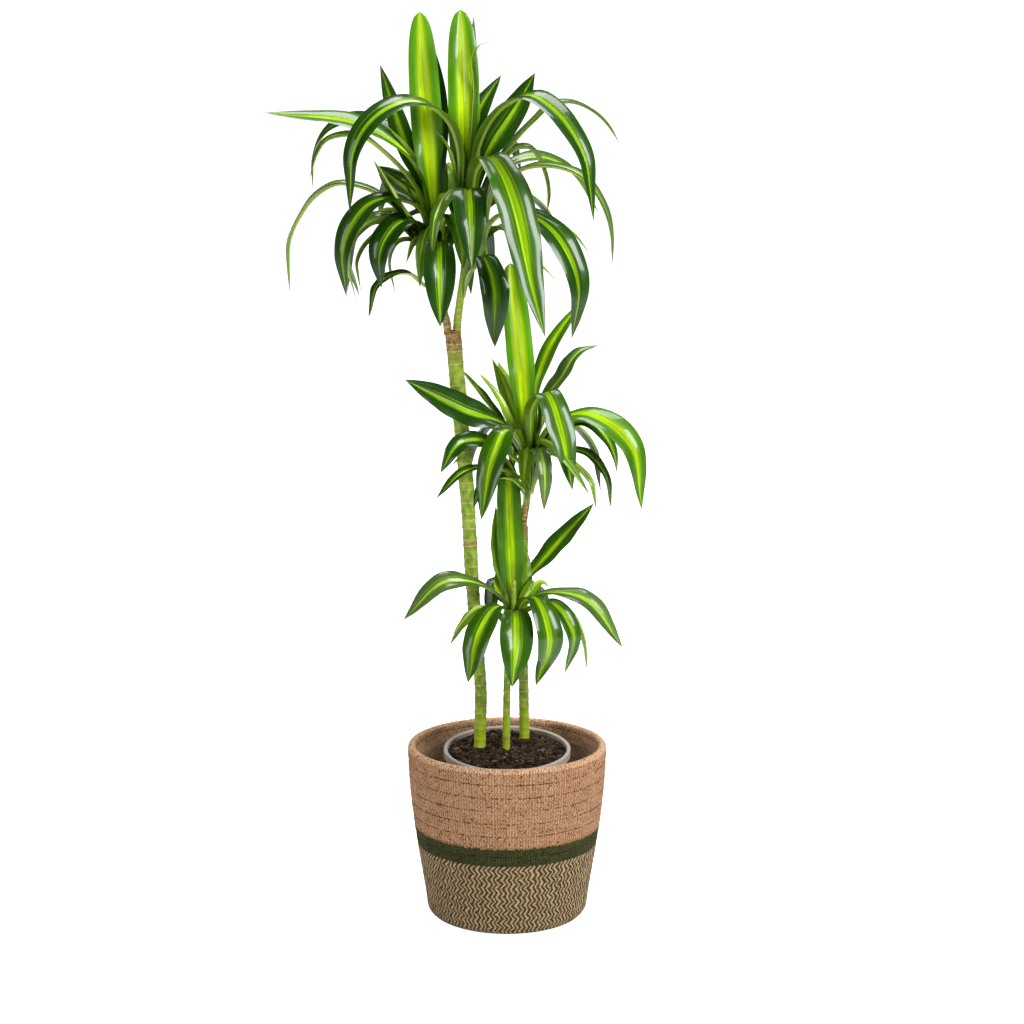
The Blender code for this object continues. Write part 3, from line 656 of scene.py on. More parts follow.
def makeStemMaterial(name, skin, darkSkin):
    # Green skin with fine upright streaks and tan ring scars, turning woody where wood is 1.
    material, nodes, shader, where = startMaterial(name, Roughness=0.45, Specular_IOR_Level=0.35)
    scar, wood, around = nodes.value("scar"), nodes.value("wood"), nodes.value("around")
    height = nodes.value("heightCm")
    streak, cloud = useGroup(nodes, streaksGroup, ["Streak", "Cloud"], Across=around, Seed=1.0, Count=7.0,
                             Along=nodes.times(height, 0.3))
    colour = nodes.mix(nodes.fade(cloud, 0.35, 0.65), skin, darkSkin)
    colour = nodes.mix(nodes.fade(streak, 0.5, 0.8, 0.0, 0.4), colour, stemFinish["lowSkin"])
    colour = nodes.mix(nodes.fade(height, 30.0, 23.0, 0.0, 0.75), colour, stemFinish["lowSkin"])
    mottle = nodes.noise(where, 240.0, detail=3.0)
    bark = nodes.mix(nodes.fade(mottle, 0.35, 0.65), stemFinish["darkWood"], stemFinish["wood"])
    colour = nodes.mix(wood, colour, bark)
    edge = nodes.plus(scar, nodes.times(nodes.minus(mottle, 0.5), 1.6))
    colour = nodes.mix(nodes.fade(edge, 0.5, 0.85, 0.0, 0.85), colour, stemFinish["scar"])
    relief = nodes.plus(nodes.times(streak, 0.5), mottle)
    finishMaterial(nodes, shader, colour, nodes.fade(mottle, 0.3, 0.7, 0.38, 0.6), relief,
                   strength=0.4, depth=0.0008)
    return material


caneMaterial = makeStemMaterial("ringed_cane", stemFinish["skin"], stemFinish["shadeSkin"])
shootMaterial = makeStemMaterial("young_shoot", stemFinish["shootSkin"], stemFinish["skin"])


def routeLength(route):
    # The length of a route through its middles.
    return np.linalg.norm(np.diff(route[:, :3], axis=0), axis=1).sum()


def stemSurface(route, step, sides, scars, seed):
    # Rings carried along a route of middles and radii.
    # The radius swells a little about each ring scar, stands out at the scar as a thin ridge,
    # wavers round the stem by a few slow waves and draws in at the top.
    length = routeLength(route)
    count = max(8, int(length / step))
    fine = splineThrough(route, count)
    middle, radius = fine[:, :3], fine[:, 3]
    forward = unit(np.gradient(middle, axis=0))
    aside = unit(np.cross(forward, np.array([0.0, 1.0, 0.0])))
    front = np.cross(aside, forward)
    turn = np.linspace(0, 2 * math.pi, sides, endpoint=False)[None]
    place = np.linspace(0, length, count)[:, None]
    draw = np.random.default_rng(seed)
    tilt = draw.uniform(-0.0012, 0.0012, len(scars))
    phase = draw.uniform(0, 2 * math.pi, len(scars))
    reach = place[..., None] + tilt * np.sin(turn[..., None] + phase)
    nearness = np.exp(-(((reach - np.array(scars)) / 0.0009) ** 2)).max(-1)
    swell = np.exp(-(((reach - np.array(scars)) / 0.004) ** 2)).max(-1)
    waver = 0.02 * np.sin(2 * turn + 60 * place) + 0.015 * np.sin(3 * turn - 95 * place + 1)
    closing = 1 - 0.35 * smoothStep(length - 0.004, length, place) ** 2
    size = radius[:, None] * closing * (1 + waver + 0.03 * swell + 0.055 * nearness)
    rings = (middle[:, None] + aside[:, None] * (np.cos(turn) * size)[..., None]
             + front[:, None] * (np.sin(turn) * size)[..., None])
    return rings[:, ::-1], nearness[:, ::-1], turn[:, ::-1]


def addStem(name, route, scars, wood, material, slot, seed, sides=28, replaced=()):
    # A stem with its scars; wood is a function of the height that says how woody it is.
    rings, nearness, turn = stemSurface(route, 0.0011, sides, scars, seed)
    places, faces = cappedTube(rings)
    count = len(rings)
    heights = rings[..., 2]
    values = {
        "scar": np.concatenate([nearness.ravel(), [0, 0]]),
        "wood": np.concatenate([wood(heights).ravel(), wood(heights[[0, -1], 0])]),
        "around": np.concatenate([np.tile(np.cos(turn), (count, 1)).ravel(), [0, 0]]),
        "heightCm": np.concatenate([(heights / cm).ravel(), heights[[0, -1], 0] / cm]),
    }
    return makePiece(name, places, faces, material, slot, replaced, values)


def scarPlaces(length, spacing, seed):
    # Places of the ring scars along a stem, unevenly spaced.
    draw = np.random.default_rng(seed)
    return np.cumsum(draw.uniform(0.6, 1.4, int(length / spacing) + 1)) * spacing


def withBuriedFoot(route):
    # The same shoot carried a little way down into the cane that it grew from.
    return np.concatenate([[route[0] - np.array([0, 0, 0.007, 0])], route])


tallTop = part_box("cane_tall")[1].z
# How each cane's ring scars are spaced, and where it is woody: between two heights, or near a knot.
caneLooks = {
    "cane_tall": dict(seed=3, spacing=0.013, woodFrom=(tallTop - 0.05, tallTop - 0.008), woodShare=0.9,
                      knot=0.505, knotSize=0.005, knotShare=0.7),
    "cane_mid": dict(seed=5, spacing=0.012, woodFrom=(0.49, 0.53), woodShare=1.0),
    "cane_short": dict(seed=7, spacing=0.014, knot=0.238, knotSize=0.006, knotShare=0.5),
}
# How woody a shoot is at its foot, and between which heights above it that fades.
shootLooks = {
    "shoot_top_right": (0.35, 0.0, 0.02),
    "shoot_top_left": (0.9, 0.02, 0.04),
    "shoot_middle": (0.9, 0.02, 0.04),
    "shoot_low": (0.35, 0.0, 0.02),
}


def caneWood(look):
    # How woody a cane is, as a function of the height.
    def wood(height):
        share = np.zeros_like(height)
        if "woodFrom" in look:
            share = smoothStep(*look["woodFrom"], height) * look["woodShare"]
        if "knot" in look:
            aside = (height - look["knot"]) / look["knotSize"]
            share = share + look["knotShare"] * np.exp(-(aside**2))
        return share
    return wood


def shootWood(foot, share, low, high):
    # How woody a shoot is, as a function of the height.
    return lambda height: share * (1 - smoothStep(foot + low, foot + high, height))


def addCanes():
    for name, look in caneLooks.items():
        route = caneRoutes[name]
        scars = scarPlaces(routeLength(route), look["spacing"], look["seed"])
        addStem(name.replace("cane", "caneSkin"), route, scars, caneWood(look), caneMaterial,
                "cane_bark", look["seed"], replaced=[name])
    for number, name in enumerate(shootNames):
        route = withBuriedFoot(shootRoutes[name])
        foot = route[1, 2]
        wood = shootWood(foot, *shootLooks[name])
        scars = scarPlaces(route[-1, 2] - foot, 0.009, 20 + number)
        addStem(name.replace("shoot", "shootSkin"), route, scars, wood, shootMaterial, "green_shoot",
                30 + number, sides=20, replaced=[name])


addCanes()
print("canes and shoots made")


basketShape = dict(
    height=0.235, rimRadius=0.1295, lowRadius=0.105, footRadius=0.085, footRound=0.018, wall=0.009,
    depthScale=0.95, frontRise=0.1, naturalRows=6, naturalRow=0.0178, bandRows=2, bandRow=0.0135,
    zigzags=112, zigzagRows=8, plaits=216, skin=0.0016, sleeve=0.004, rimRound=0.0052,
)


def basketRadius(height):
    # Outer radius of the wall: it widens quickly above the foot and slowly below the rim.
    shape = basketShape
    share = np.clip((height - shape["footRound"]) / (shape["height"] - shape["footRound"]), 0, 1)
    wide = np.sin(math.pi / 2 * share) ** 1.15
    above = shape["lowRadius"] + (shape["rimRadius"] - shape["lowRadius"]) * wide
    drop = np.clip(1 - height / shape["footRound"], 0, 1)
    below = shape["footRadius"] + (shape["lowRadius"] - shape["footRadius"]) * np.sqrt(1 - drop**2)
    return np.where(height < shape["footRound"], below, above)


def standInBasketShape(places):
    # Narrows a turned shape from front to back, and stretches it upwards towards the front.
    places = places.copy()
    places[..., 1] *= basketShape["depthScale"]
    places[..., 2] *= 1 - basketShape["frontRise"] * places[..., 1]
    return places


def ropeUvs(along, columns, closedProfile):
    # A pair for each face corner: the share of the way round, and the count of rope rows.
    if closedProfile:
        along = np.append(along, along[0])
    row, column = np.mgrid[0:len(along) - 1, 0:columns]
    corners = [(column, row), (column + 1, row), (column + 1, row + 1), (column, row + 1)]
    uvs = np.stack([np.stack([c / columns, along[r]], -1) for c, r in corners], axis=2).reshape(-1, 2)
    if closedProfile:
        return uvs
    return np.concatenate([uvs, np.repeat([[0.0, along[0]], [0.0, along[-1]]], columns * 3, axis=0)])


def turnedSurface(name, radii, heights, columns, material, slot, centre=None, closedProfile=False,
                  along=None, **more):
    # A profile of radii and heights carried round Z: in the basket's own shape, or round a centre.
    # Both may have one number a row, or one for each column of the row.
    turn = np.linspace(0, 2 * math.pi, columns, endpoint=False)[None]
    radii = np.broadcast_to(radii.reshape(len(radii), -1), (len(radii), columns))
    heights = np.broadcast_to(heights.reshape(len(heights), -1), (len(heights), columns))
    rings = np.stack([radii * np.cos(turn), radii * np.sin(turn), heights], axis=-1)
    if centre is None:
        rings = standInBasketShape(rings)
    else:
        rings[..., :2] += centre
    if closedProfile:
        places = rings.reshape(-1, 3)
        faces = gridFaces(len(rings) + 1, columns, closed=True) % len(places)
    else:
        places, faces = cappedTube(rings)
    uvs = None if along is None else ropeUvs(along, columns, closedProfile)
    return makePiece(name, places, faces, material, slot, uvs=uvs, **more)


basketFinish = dict(
    # paintedShadeTan and paintedShadeGreen are painted shade, for the grooves and holes of the rope.
    tan=linear(172, 124, 86), paintedShadeTan=linear(120, 78, 48), lightTan=linear(212, 168, 130),
    # paintedLitTan is painted highlight, used only for the lit copy of the rope inside and on the rim.
    paintedLitTan=linear(228, 190, 154), hole=linear(88, 54, 30),
    green=linear(46, 50, 18), paintedShadeGreen=linear(18, 22, 8), lightGreen=linear(80, 84, 38),
    olive=linear(72, 54, 26), beige=linear(196, 174, 136),
)


def startRope(name):
    # A dull paper rope. The pattern's first number runs once round the basket, its second counts rows.
    material, nodes, shader, where = startMaterial(name, Roughness=0.85, Specular_IOR_Level=0.2)
    pattern = nodes.add("ShaderNodeUVMap", settings=dict(uv_map="pattern"))
    split = nodes.tree.nodes.new("ShaderNodeSeparateXYZ")
    nodes.put(split.inputs[0], pattern)
    return material, nodes, shader, where, split.outputs[0], split.outputs[1]


def finishRope(nodes, shader, colour, relief, speck, tangle):
    # Specks the colour, and puts the relief of strands and fibres into the shading.
    shade = nodes.fade(speck, 0.3, 0.7, 0.76, 1.22)
    finishMaterial(nodes, shader, nodes.shaded(colour, shade), nodes.fade(tangle, 0.3, 0.7, 0.75, 0.95),
                   relief, strength=0.8, depth=0.0014)


def strandOffset(nodes, turns, rise, jitter, swing=1.0):
    # 0 at the middle of a strand and 0.5 between two: strands round the basket plus a triangle wave.
    wave = nodes.times(nodes.math("PINGPONG", rise, 0.5), swing)
    return nodes.fromMiddle(nodes.plus(nodes.plus(turns, wave), jitter))


def makePlaitMaterial(name, light, middle, dark, hole, ticks=None):
    # Rows of fine plaited rope, three plaits high, with painted shade in the grooves between plaits, in
    # small holes and along a broken seam below each.
    # ticks is the colour of the row above, which reaches a little way down over the first row.
    material, nodes, shader, where, turn, row = startRope(name)
    tangle, speck = useGroup(nodes, fibreGroup, ["Tangle", "Speck"], Vector=where, Scale=760.0)
    slow = nodes.noise(where, 70.0, detail=3.0)
    wobble = nodes.centred(nodes.noise(where, 260.0), 0.9)
    rise = nodes.times(row, 3.0)
    turns = nodes.times(turn, float(basketShape["plaits"]))
    strand = strandOffset(nodes, turns, rise, wobble)
    colour = nodes.mix(nodes.fade(slow, 0.3, 0.7, 0.15, 0.5), middle, light)
    colour = nodes.mix(nodes.fade(tangle, 0.5, 0.66, 0.0, 0.9), colour, light)
    # Painted shade in the grooves between the plaits.
    colour = nodes.mix(nodes.fade(strand, 0.26, 0.44, 0.0, 0.7), colour, dark)
    # Painted shade in small holes between the strands.
    crowd = nodes.fade(nodes.noise(where, 60.0, detail=2.0), 0.35, 0.65, 0.03, -0.04)
    depth = nodes.plus(crowd, nodes.times(nodes.fromMiddle(rise), -0.1))
    holes = nodes.fade(nodes.plus(nodes.noise(where, 430.0, detail=1.0), depth), 0.37, 0.32)
    colour = nodes.mix(nodes.times(holes, 0.8), colour, hole)
    # Painted shade along a broken seam below each row.
    seam = nodes.plus(nodes.fromMiddle(nodes.plus(row, 0.5)), nodes.centred(speck, 0.12))
    broken = nodes.fade(nodes.noise(where, 170.0), 0.38, 0.58, 0.1, 0.9)
    colour = nodes.mix(nodes.times(nodes.fade(seam, 0.065, 0.02), broken), colour, hole)
    if ticks:
        stretched = nodes.joined(nodes.times(turn, 420.0), nodes.times(row, 1.5))
        reach = nodes.noise(stretched, 1.0)
        fringe = nodes.fade(nodes.minus(nodes.times(row, 1.4), reach), -0.2, -0.34)
        colour = nodes.mix(fringe, colour, ticks)
    relief = nodes.plus(nodes.fade(strand, 0.46, 0.15), nodes.times(tangle, 0.8))
    relief = nodes.minus(relief, nodes.times(holes, 1.5))
    finishRope(nodes, shader, colour, relief, speck, tangle)
    return material


def makeZigzagMaterial():
    # Thin beige strands that zigzag down an olive ground, a little ragged, with no gap between rows.
    finish = basketFinish
    material, nodes, shader, where, turn, row = startRope("zigzag_rope")
    tangle, speck = useGroup(nodes, fibreGroup, ["Tangle", "Speck"], Vector=where, Scale=620.0)
    wobble = nodes.centred(nodes.noise(where, 110.0), 1.3)
    turns = nodes.times(turn, float(basketShape["zigzags"]))
    strand = strandOffset(nodes, turns, row, wobble, swing=1.5)
    ragged = nodes.plus(strand, nodes.centred(speck, 0.3))
    dullBeige = nodes.mix(0.45, finish["olive"], finish["beige"])
    beige = nodes.mix(nodes.fade(tangle, 0.4, 0.7), dullBeige, finish["beige"])
    colour = nodes.mix(nodes.fade(ragged, 0.2, 0.27), beige, finish["olive"])
    colour = nodes.mix(nodes.fade(nodes.noise(where, 480.0), 0.6, 0.68, 0.0, 0.5), colour, finish["tan"])
    relief = nodes.plus(nodes.fade(strand, 0.3, 0.1), nodes.times(tangle, 0.5))
    finishRope(nodes, shader, colour, relief, speck, tangle)
    return material


def ropeRelief(turn, row, strands):
    # Two reliefs of the rope, each 0 to 1: round rows with sharp seams, and strands or low lumps.
    bulge = np.sqrt(np.clip(1 - (2 * np.mod(row, 1) - 1) ** 4, 0, 1))
    if strands:
        phase = np.mod(turn * strands + 1.5 * (0.5 - np.abs(np.mod(row, 1) - 0.5)), 1)
        return 0.7 + 0.3 * bulge, 0.5 - 0.5 * np.cos(2 * math.pi * phase)
    angle = 2 * math.pi * turn
    lumps = (np.sin(37 * angle + 5 * row) + np.sin(61 * angle - 9 * row + 1)
             + np.sin(89 * angle + 14 * row + 2))
    return bulge, 0.5 + lumps / 6


def addSleeve(name, top, bottom, rowHeight, columns, samples, material, strands=0):
    # One coloured stretch of the basket's outside: rope rows, and a plain face behind them.
    rows = np.linspace(0, (top - bottom) / rowHeight, samples)
    heights = top - rows * rowHeight
    turn = np.linspace(0, 1, columns, endpoint=False)[None]
    bulge, strand = ropeRelief(turn, rows[:, None], strands)
    relief = basketShape["skin"] * bulge * (0.62 + 0.3 * strand)
    outer = basketRadius(heights)[:, None] + relief - basketShape["skin"] / 4
    back = np.linspace(bottom, top, 6)
    behind = (basketRadius(back) - basketShape["sleeve"])[:, None]
    radii = np.concatenate([outer, np.broadcast_to(behind, (6, columns))])
    allHeights = np.concatenate([heights, back])
    along = np.concatenate([rows, np.linspace(rows[-1], 0, 6)])
    return turnedSurface(name, radii[::-1], allHeights[::-1], columns, material, "basket_rope",
                         closedProfile=True, along=along[::-1])


def addSleeves():
    # The tan, green and zigzag stretches, from the rim down.
    shape, finish = basketShape, basketFinish
    tanRope = makePlaitMaterial("tan_rope", finish["lightTan"], finish["tan"], finish["paintedShadeTan"],
                                finish["hole"])
    greenRope = makePlaitMaterial("green_rope", finish["lightGreen"], finish["green"],
                                  finish["paintedShadeGreen"], finish["paintedShadeGreen"], ticks=finish["tan"])
    tanTop = shape["height"] - shape["naturalRow"] * 0.18  # under the rolled rim
    bandTop = shape["height"] - shape["naturalRows"] * shape["naturalRow"]
    bandFoot = bandTop - shape["bandRows"] * shape["bandRow"]
    zigzagFoot = 0.002
    zigzagRow = (bandFoot - zigzagFoot) / shape["zigzagRows"]
    addSleeve("basketTan", tanTop, bandTop, shape["naturalRow"], 576, 84, tanRope)
    addSleeve("basketBand", bandTop, bandFoot, shape["bandRow"], 480, 26, greenRope)
    addSleeve("basketZigzag", bandFoot, zigzagFoot, zigzagRow, shape["zigzags"] * 7,
              8 * shape["zigzagRows"] + 1, makeZigzagMaterial(), strands=shape["zigzags"])


def addShell():
    # The plain inside, the rolled rim and the flat foot: one profile behind the sleeves.
    shape, finish = basketShape, basketFinish
    rimTurn = np.linspace(-0.45 * math.pi, 0.95 * math.pi, 14)
    rimRadii = shape["rimRadius"] - shape["wall"] / 2 + shape["rimRound"] * np.cos(rimTurn)
    rimHeights = shape["height"] - shape["rimRound"] + shape["rimRound"] * np.sin(rimTurn)
    insideHeights = np.linspace(shape["height"] - 0.008, shape["wall"] + 0.004, 60)
    rows = insideHeights / shape["naturalRow"]
    bulge = np.sqrt(np.clip(1 - (2 * np.mod(rows, 1) - 1) ** 4, 0, 1))
    insideRadii = basketRadius(np.maximum(insideHeights, shape["footRound"])) - shape["wall"]
    insideRadii = insideRadii + 0.0006 * (1 - bulge)
    outHeights = np.linspace(0.0022, shape["height"] - 2 * shape["rimRound"], 30)
    outRadii = basketRadius(outHeights) - 0.003
    footRadius = basketRadius(0.0)
    radii = np.concatenate([[0.02, footRadius - shape["sleeve"]], outRadii, rimRadii, insideRadii,
                            [footRadius - shape["wall"], 0.02]])
    heights = np.concatenate([[0.0, 0.0], outHeights, rimHeights, insideHeights,
                              [shape["wall"], shape["wall"]]])
    along = (shape["height"] - heights) / shape["naturalRow"] + 0.5
    # Painted light: the inside, rim and foot use a lighter copy of the tan rope, each tone a step up, in
    # place of light falling inside and a highlight along the rim.
    litInnerRope = makePlaitMaterial("inner_rope_painted_light", finish["paintedLitTan"], finish["lightTan"], finish["tan"],
                                  finish["paintedShadeTan"])
    turnedSurface("basketShell", radii, heights, 288, litInnerRope, "basket_rope", along=along,
                  replaced=["basket"])


addSleeves()
addShell()
print("basket sewn")


linerShape = dict(columns=240, top=0.2145, film=0.0003, fold=0.0016, clearance=0.0012)
linerFinish = dict(shade=linear(214, 184, 156), light=linear(250, 240, 226), clearness=0.13)


def makeFilmMaterial():
    # Thin clear film, crinkled by two sizes of folds.
    material, nodes, shader, where = startMaterial(
        "clear_film", Alpha=linerFinish["clearness"], Specular_IOR_Level=0.8, Coat_Weight=0.4,
        Coat_Roughness=0.08)
    folds = nodes.add("ShaderNodeTexVoronoi", settings=dict(feature="F1"), Vector=where, Scale=55.0)
    fine = nodes.noise(where, 120.0, detail=2.0)
    colour = nodes.mix(fine, linerFinish["shade"], linerFinish["light"])
    finishMaterial(nodes, shader, colour, nodes.fade(fine, 0.3, 0.7, 0.1, 0.3),
                   nodes.plus(folds, fine), strength=0.8, depth=0.004)
    return material


def addLiner():
    # A film cup inside the basket: its radius wavers inwards in upright creases that grow upwards.
    shape = linerShape
    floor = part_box("basket_liner")[0].z
    columns = shape["columns"]
    turn = np.linspace(0, 2 * math.pi, columns, endpoint=False)[None]
    heights = np.linspace(floor + 0.006, shape["top"], 50)[:, None]
    inside = basketRadius(np.maximum(heights, basketShape["footRound"])) - basketShape["wall"]
    creases = (np.sin(17 * turn + 30 * heights) * 0.4 + np.sin(29 * turn - 70 * heights + 1) * 0.3
               + np.sin(53 * turn + 45 * heights + 2) * 0.3)
    rise = smoothStep(0.01, 0.2, heights)
    outer = inside - shape["clearance"] - shape["fold"] * (1 + creases) * rise
    inner = outer - shape["film"]
    middle = np.full((1, columns), 0.01)
    radii = np.concatenate([middle, outer, inner[::-1], middle])
    every = np.concatenate([[floor + 0.0004], heights.ravel(), heights.ravel()[::-1], [floor + 0.0009]])
    turnedSurface("linerFilm", radii, every, columns, makeFilmMaterial(), "liner_film",
                  replaced=["basket_liner"])


addLiner()
print("liner laid")


potFinish = dict(shade=linear(150, 142, 132), light=linear(196, 188, 178), scuff=linear(120, 110, 96))


def makePotMaterial():
    # Cloudy grey plastic with faint scuffs.
    material, nodes, shader, where = startMaterial("cloudy_plastic", Roughness=0.4, Specular_IOR_Level=0.45)
    cloud = nodes.noise(where, 22.0, detail=3.0)
    scuff = nodes.noise(where, 300.0, detail=4.0)
    colour = nodes.mix(cloud, potFinish["shade"], potFinish["light"])
    colour = nodes.mix(nodes.fade(scuff, 0.55, 0.8, 0.0, 0.3), colour, potFinish["scuff"])
    finishMaterial(nodes, shader, colour, nodes.fade(scuff, 0.3, 0.7, 0.32, 0.5), scuff,
                   strength=0.15, depth=0.0005)
    return material


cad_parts["grow_pot"].material_slots[0].material = makePotMaterial()
print("pot finished")


soilShape = dict(backRise=0.05, crown=0.003, aboveTop=0.0013, bedDrop=0.0008, footRadius=0.058)
soilFinish = dict(
    dark=linear(8, 4, 2), middle=linear(44, 27, 15), light=linear(122, 92, 64),
    paleDark=linear(70, 46, 34), paleMiddle=linear(122, 88, 68), paleLight=linear(176, 140, 112),
    fibreShade=linear(110, 84, 56), fibreLight=linear(196, 172, 136),
)


def makeSoilMaterial(name, dark, middle, light):
    # Bark in two dull tones, with pale fibres over it where the piece's tone is high.
    material, nodes, shader, where = startMaterial(name, Roughness=0.9, Specular_IOR_Level=0.25)
    tangle, speck = useGroup(nodes, fibreGroup, ["Tangle", "Speck"], Vector=where, Scale=420.0)
    colour = nodes.mix(nodes.fade(speck, 0.35, 0.65), dark, middle)
    tone = nodes.fade(nodes.value("tone"), 0.2, 1.0, 0.25, 1.0)
    fibres = nodes.times(nodes.fade(tangle, 0.5, 0.75), tone)
    finishMaterial(nodes, shader, nodes.mix(fibres, colour, light),
                   nodes.fade(tangle, 0.3, 0.7, 0.7, 0.98), tangle, strength=0.8, depth=0.001)
    return material


def soilLevel(top, radius, x, y):
    # Height of the soil at a place from its middle: highest in the middle, and sloping up to the back.
    return top - soilShape["crown"] * (x**2 + y**2) / radius**2 + soilShape["backRise"] * y


def addSoilBed(centre, radius, floor, top, material):
    # Rings from the pot's floor up its wall, then in over a top that is lumpy by four crossed waves.
    columns, count = 160, 46
    turn = np.linspace(0, 2 * math.pi, columns, endpoint=False)[None]
    share = np.linspace(1, 0.02, count)[:, None]
    x, y = share * np.cos(turn), share * np.sin(turn)
    lumps = (np.sin(31 * x + 3) * np.sin(29 * y + 1) + np.sin(53 * x - 41 * y)
             + np.sin(67 * y + 23 * x + 2) + 0.8 * np.sin(97 * x + 71 * y + 4)) / 4
    level = soilLevel(top, radius, x * radius, y * radius) + 0.0016 * lumps * (1 - share**6)
    foot = np.array([0.01, soilShape["footRadius"]])[:, None]
    radii = np.concatenate([foot, share * radius])
    heights = np.concatenate([np.full((2, columns), floor), level])
    tone = np.full((count + 2) * columns + 2, 0.1)
    turnedSurface("soilBed", radii, heights, columns, material, "bark_soil", centre=centre,
                  replaced=["soil"], values={"tone": tone})


def roundChip(rows=5, columns=8):
    # Points and faces of a small ball of few faces.
    rise = np.linspace(-math.pi / 2, math.pi / 2, rows + 2)[1:-1, None]
    turn = np.linspace(0, 2 * math.pi, columns, endpoint=False)[None]
    rings = np.stack([np.cos(rise) * np.cos(turn), np.cos(rise) * np.sin(turn),
                      np.broadcast_to(np.sin(rise), (rows, columns))], axis=-1)
    return cappedTube(rings)


def turnMatrices(turns, tilts, rolls):
    # One turning matrix a chip: roll about X, tilt about Y, then turn about Z.
    cz, cy, cx = np.cos([turns, tilts, rolls])
    sz, sy, sx = np.sin([turns, tilts, rolls])
    return np.stack([
        np.stack([cz * cy, cz * sy * sx - sz * cx, cz * sy * cx + sz * sx], -1),
        np.stack([sz * cy, sz * sy * sx + cz * cx, sz * sy * cx - cz * sx], -1),
        np.stack([-sy, cy * sx, cy * cx], -1)], axis=-2)


def repeatedFaces(faces, points, count):
    # The faces of one small shape for each of its copies, whose points follow each other.
    return [[corner + points * copy for corner in face] for copy in range(count) for face in faces]


# Loose chips of bark: how many, their half-length in metres, their tones and their lift off the bed.
chipKinds = {
    "barkChips": dict(count=640, sizes=(0.0020, 0.0068), tones=(0.0, 1.0), lift=0.0012, seed=21),
    "paleChips": dict(count=46, sizes=(0.0018, 0.0046), tones=(0.6, 1.0), lift=0.0022, seed=22),
}


def addChips(name, centre, radius, top, material):
    # Small balls, flattened and made rough, that lie on the bed at every angle, clear of the wall.
    kind = chipKinds[name]
    count = kind["count"]
    chip, chipFaces = roundChip()
    draw = np.random.default_rng(kind["seed"])
    spread = np.sqrt(draw.uniform(0, 1, count)) * (radius - 0.0055)
    bearing = draw.uniform(0, 2 * math.pi, count)
    size = draw.uniform(*kind["sizes"], count)[:, None] * np.stack(
        [np.ones(count), draw.uniform(0.4, 0.9, count), draw.uniform(0.2, 0.5, count)], -1)
    turns = draw.uniform(0, 6.3, count)
    tilts, rolls = draw.uniform(-0.6, 0.6, (2, count))
    rough = 1 + draw.uniform(-0.25, 0.25, (count, len(chip)))
    matrices = turnMatrices(turns, tilts, rolls)
    shapes = np.einsum("nij,npj->npi", matrices, chip[None] * size[:, None] * rough[..., None])
    x, y = spread * np.cos(bearing), spread * np.sin(bearing)
    level = soilLevel(top, radius, x, y) + kind["lift"]
    middles = np.stack([centre[0] + x, centre[1] + y, level], -1)
    places = (shapes + middles[:, None]).reshape(-1, 3)
    tone = np.repeat(draw.uniform(*kind["tones"], count), len(chip))
    makePiece(name, places, repeatedFaces(chipFaces, len(chip), count), material, "bark_soil",
              values={"tone": tone})


fibreShape = dict(count=130, steps=7, sides=3, radius=0.00018, seed=31)


def makeFibreMaterial():
    material, nodes, shader, where = startMaterial("pale_fibre", Roughness=0.8)
    tint = nodes.mix(nodes.noise(where, 90.0), soilFinish["fibreShade"], soilFinish["fibreLight"])
    nodes.put(shader.inputs["Base Color"], tint)
    return material


def addFibres(centre, radius, top):
    # Thin pale fibres that lie curled on the soil: each a small three-sided tube on an arc.
    shape = fibreShape
    count, steps, sides = shape["count"], shape["steps"], shape["sides"]
    draw = np.random.default_rng(shape["seed"])
    spread = np.sqrt(draw.uniform(0, 1, count)) * (radius - 0.010)
    bearing = draw.uniform(0, 2 * math.pi, count)
    heading = draw.uniform(0, 2 * math.pi, count)[:, None]
    length = draw.uniform(0.004, 0.014, count)[:, None]
    bend = draw.uniform(-1.8, 1.8, count)[:, None]
    share = np.linspace(-0.5, 0.5, steps)[None]
    angle = heading + bend * share
    x = np.cumsum(np.cos(angle), 1) * length / steps
    y = np.cumsum(np.sin(angle), 1) * length / steps
    atX, atY = spread * np.cos(bearing), spread * np.sin(bearing)
    ground = soilLevel(top + 0.0018, radius, atX, atY)[:, None]
    z = ground + draw.uniform(-0.0004, 0.0016, count)[:, None] * np.cos(math.pi * share)
    middle = np.stack([x - x.mean(1, keepdims=True) + (centre[0] + atX)[:, None],
                       y - y.mean(1, keepdims=True) + (centre[1] + atY)[:, None], z], -1)
    turn = np.linspace(0, 2 * math.pi, sides, endpoint=False)
    size = (shape["radius"] * (1 - (2 * share) ** 4 * 0.6))[..., None]
    across = np.stack([-np.sin(angle), np.cos(angle), np.zeros_like(angle)], -1)
    tubes = (middle[:, :, None] + across[:, :, None] * (np.cos(turn) * size)[..., None]
             + np.array([0, 0, 1.0]) * (np.sin(turn) * size)[..., None])
    tubePlaces, tubeFaces = zip(*[cappedTube(tube) for tube in tubes])
    faces = repeatedFaces(tubeFaces[0], len(tubePlaces[0]), count)
    makePiece("soilFibres", np.concatenate(tubePlaces), faces, makeFibreMaterial(), "bark_soil")


def addSoil():
    low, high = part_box("soil")
    finish = soilFinish
    centre = np.array([(low.x + high.x) / 2, (low.y + high.y) / 2])
    radius = (high.x - low.x) / 2
    top = high.z - soilShape["aboveTop"]
    bedTop = top - soilShape["bedDrop"]
    bark = makeSoilMaterial("bark_soil", finish["dark"], finish["middle"], finish["light"])
    paleBark = makeSoilMaterial("pale_bark", finish["paleDark"], finish["paleMiddle"], finish["paleLight"])
    addSoilBed(centre, radius, low.z, bedTop, bark)
    addChips("barkChips", centre, radius, bedTop, bark)
    addChips("paleChips", centre, radius, bedTop, paleBark)
    addFibres(centre, radius, top)


addSoil()
print("soil filled")


studio = dict(
    cameraPlace=(0.0065, -4.5, 1.70), cameraDown=14.366, lens=126.46, sensor=36.0, grey=0.85,
    worldStrength=0.27, worldMirrored=0.04, floorSeen=1.0, floorGlow=0.1,
)


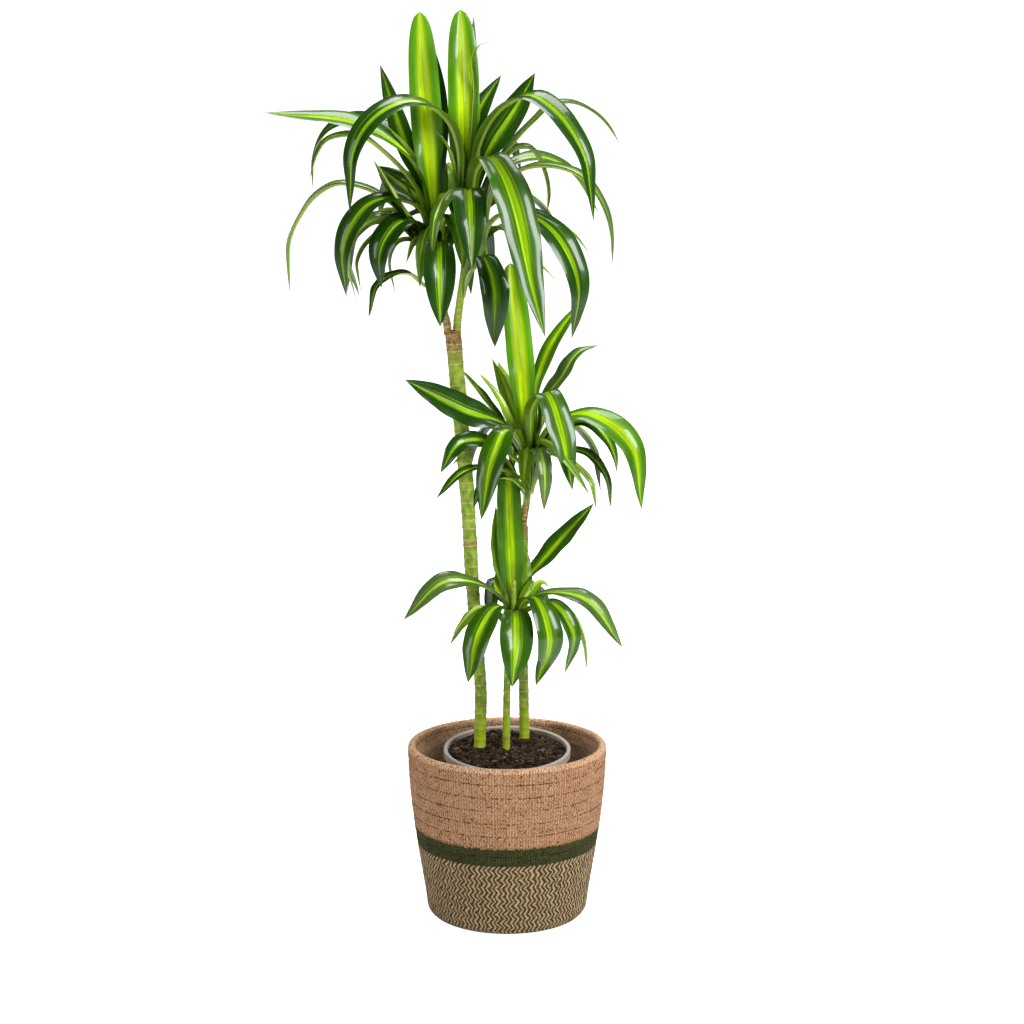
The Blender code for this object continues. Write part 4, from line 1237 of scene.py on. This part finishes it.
def makeStage():
    # A wide pale floor. It glows white to the camera and only faintly to everything else.
    bpy.ops.mesh.primitive_plane_add(size=60, location=(0, 10, -0.0005))
    floor = bpy.context.active_object
    floor.name = "paleFloor"
    material, nodes, shader, _ = startMaterial("pale_floor", Roughness=0.9, Specular_IOR_Level=0.0)
    shader.inputs["Base Color"].default_value = (studio["grey"], studio["grey"], studio["grey"], 1)
    shader.inputs["Emission Color"].default_value = (1, 1, 1, 1)
    seen = nodes.add("ShaderNodeLightPath")
    nodes.put(shader.inputs["Emission Strength"],
              nodes.fade(seen, 0.0, 1.0, studio["floorGlow"], studio["floorSeen"]))
    floor.data.materials.append(material)
    world = bpy.data.worlds.new("studio")
    world.use_nodes = True
    sky = Nodes(world.node_tree)
    mirrored = sky.add("ShaderNodeLightPath", output=3)
    background = world.node_tree.nodes["Background"]
    background.inputs["Color"].default_value = (1, 1, 1, 1)
    sky.put(background.inputs["Strength"],
            sky.fade(mirrored, 0.0, 1.0, studio["worldStrength"], studio["worldMirrored"]))
    bpy.context.scene.world = world
    bpy.context.scene.view_settings.view_transform = "Standard"


def addLight(name, place, target, size, power):
    # A rectangle of light that faces a target.
    light = bpy.data.lights.new(name, "AREA")
    light.shape = "RECTANGLE"
    light.size, light.size_y = size
    light.energy = power
    item = bpy.data.objects.new(name, light)
    item.location = place
    aim = np.array(target) - np.array(place)
    yaw = math.atan2(aim[1], aim[0]) - math.pi / 2
    pitch = math.atan2(aim[2], math.hypot(aim[0], aim[1])) + math.pi / 2
    item.rotation_euler = (pitch, 0, yaw)
    bpy.context.scene.collection.objects.link(item)


def addCamera():
    camera = bpy.data.cameras.new("camera")
    camera.lens = studio["lens"]
    camera.sensor_width = studio["sensor"]
    item = bpy.data.objects.new("camera", camera)
    item.location = studio["cameraPlace"]
    item.rotation_euler = (math.radians(90 - studio["cameraDown"]), 0, 0)
    bpy.context.scene.collection.objects.link(item)
    bpy.context.scene.camera = item


makeStage()
addLight("keyRight", (2.2, -1.6, 2.6), (0, 0, 0.7), (1.3, 1.8), 114)
addLight("fillLeft", (-2.4, -2.0, 1.8), (0, 0, 0.7), (1.0, 2.0), 34)
addLight("crestLight", (0.3, 0.7, 3.0), (0, 0, 0.6), (1.8, 1.4), 62)
addCamera()
print("stage lit")
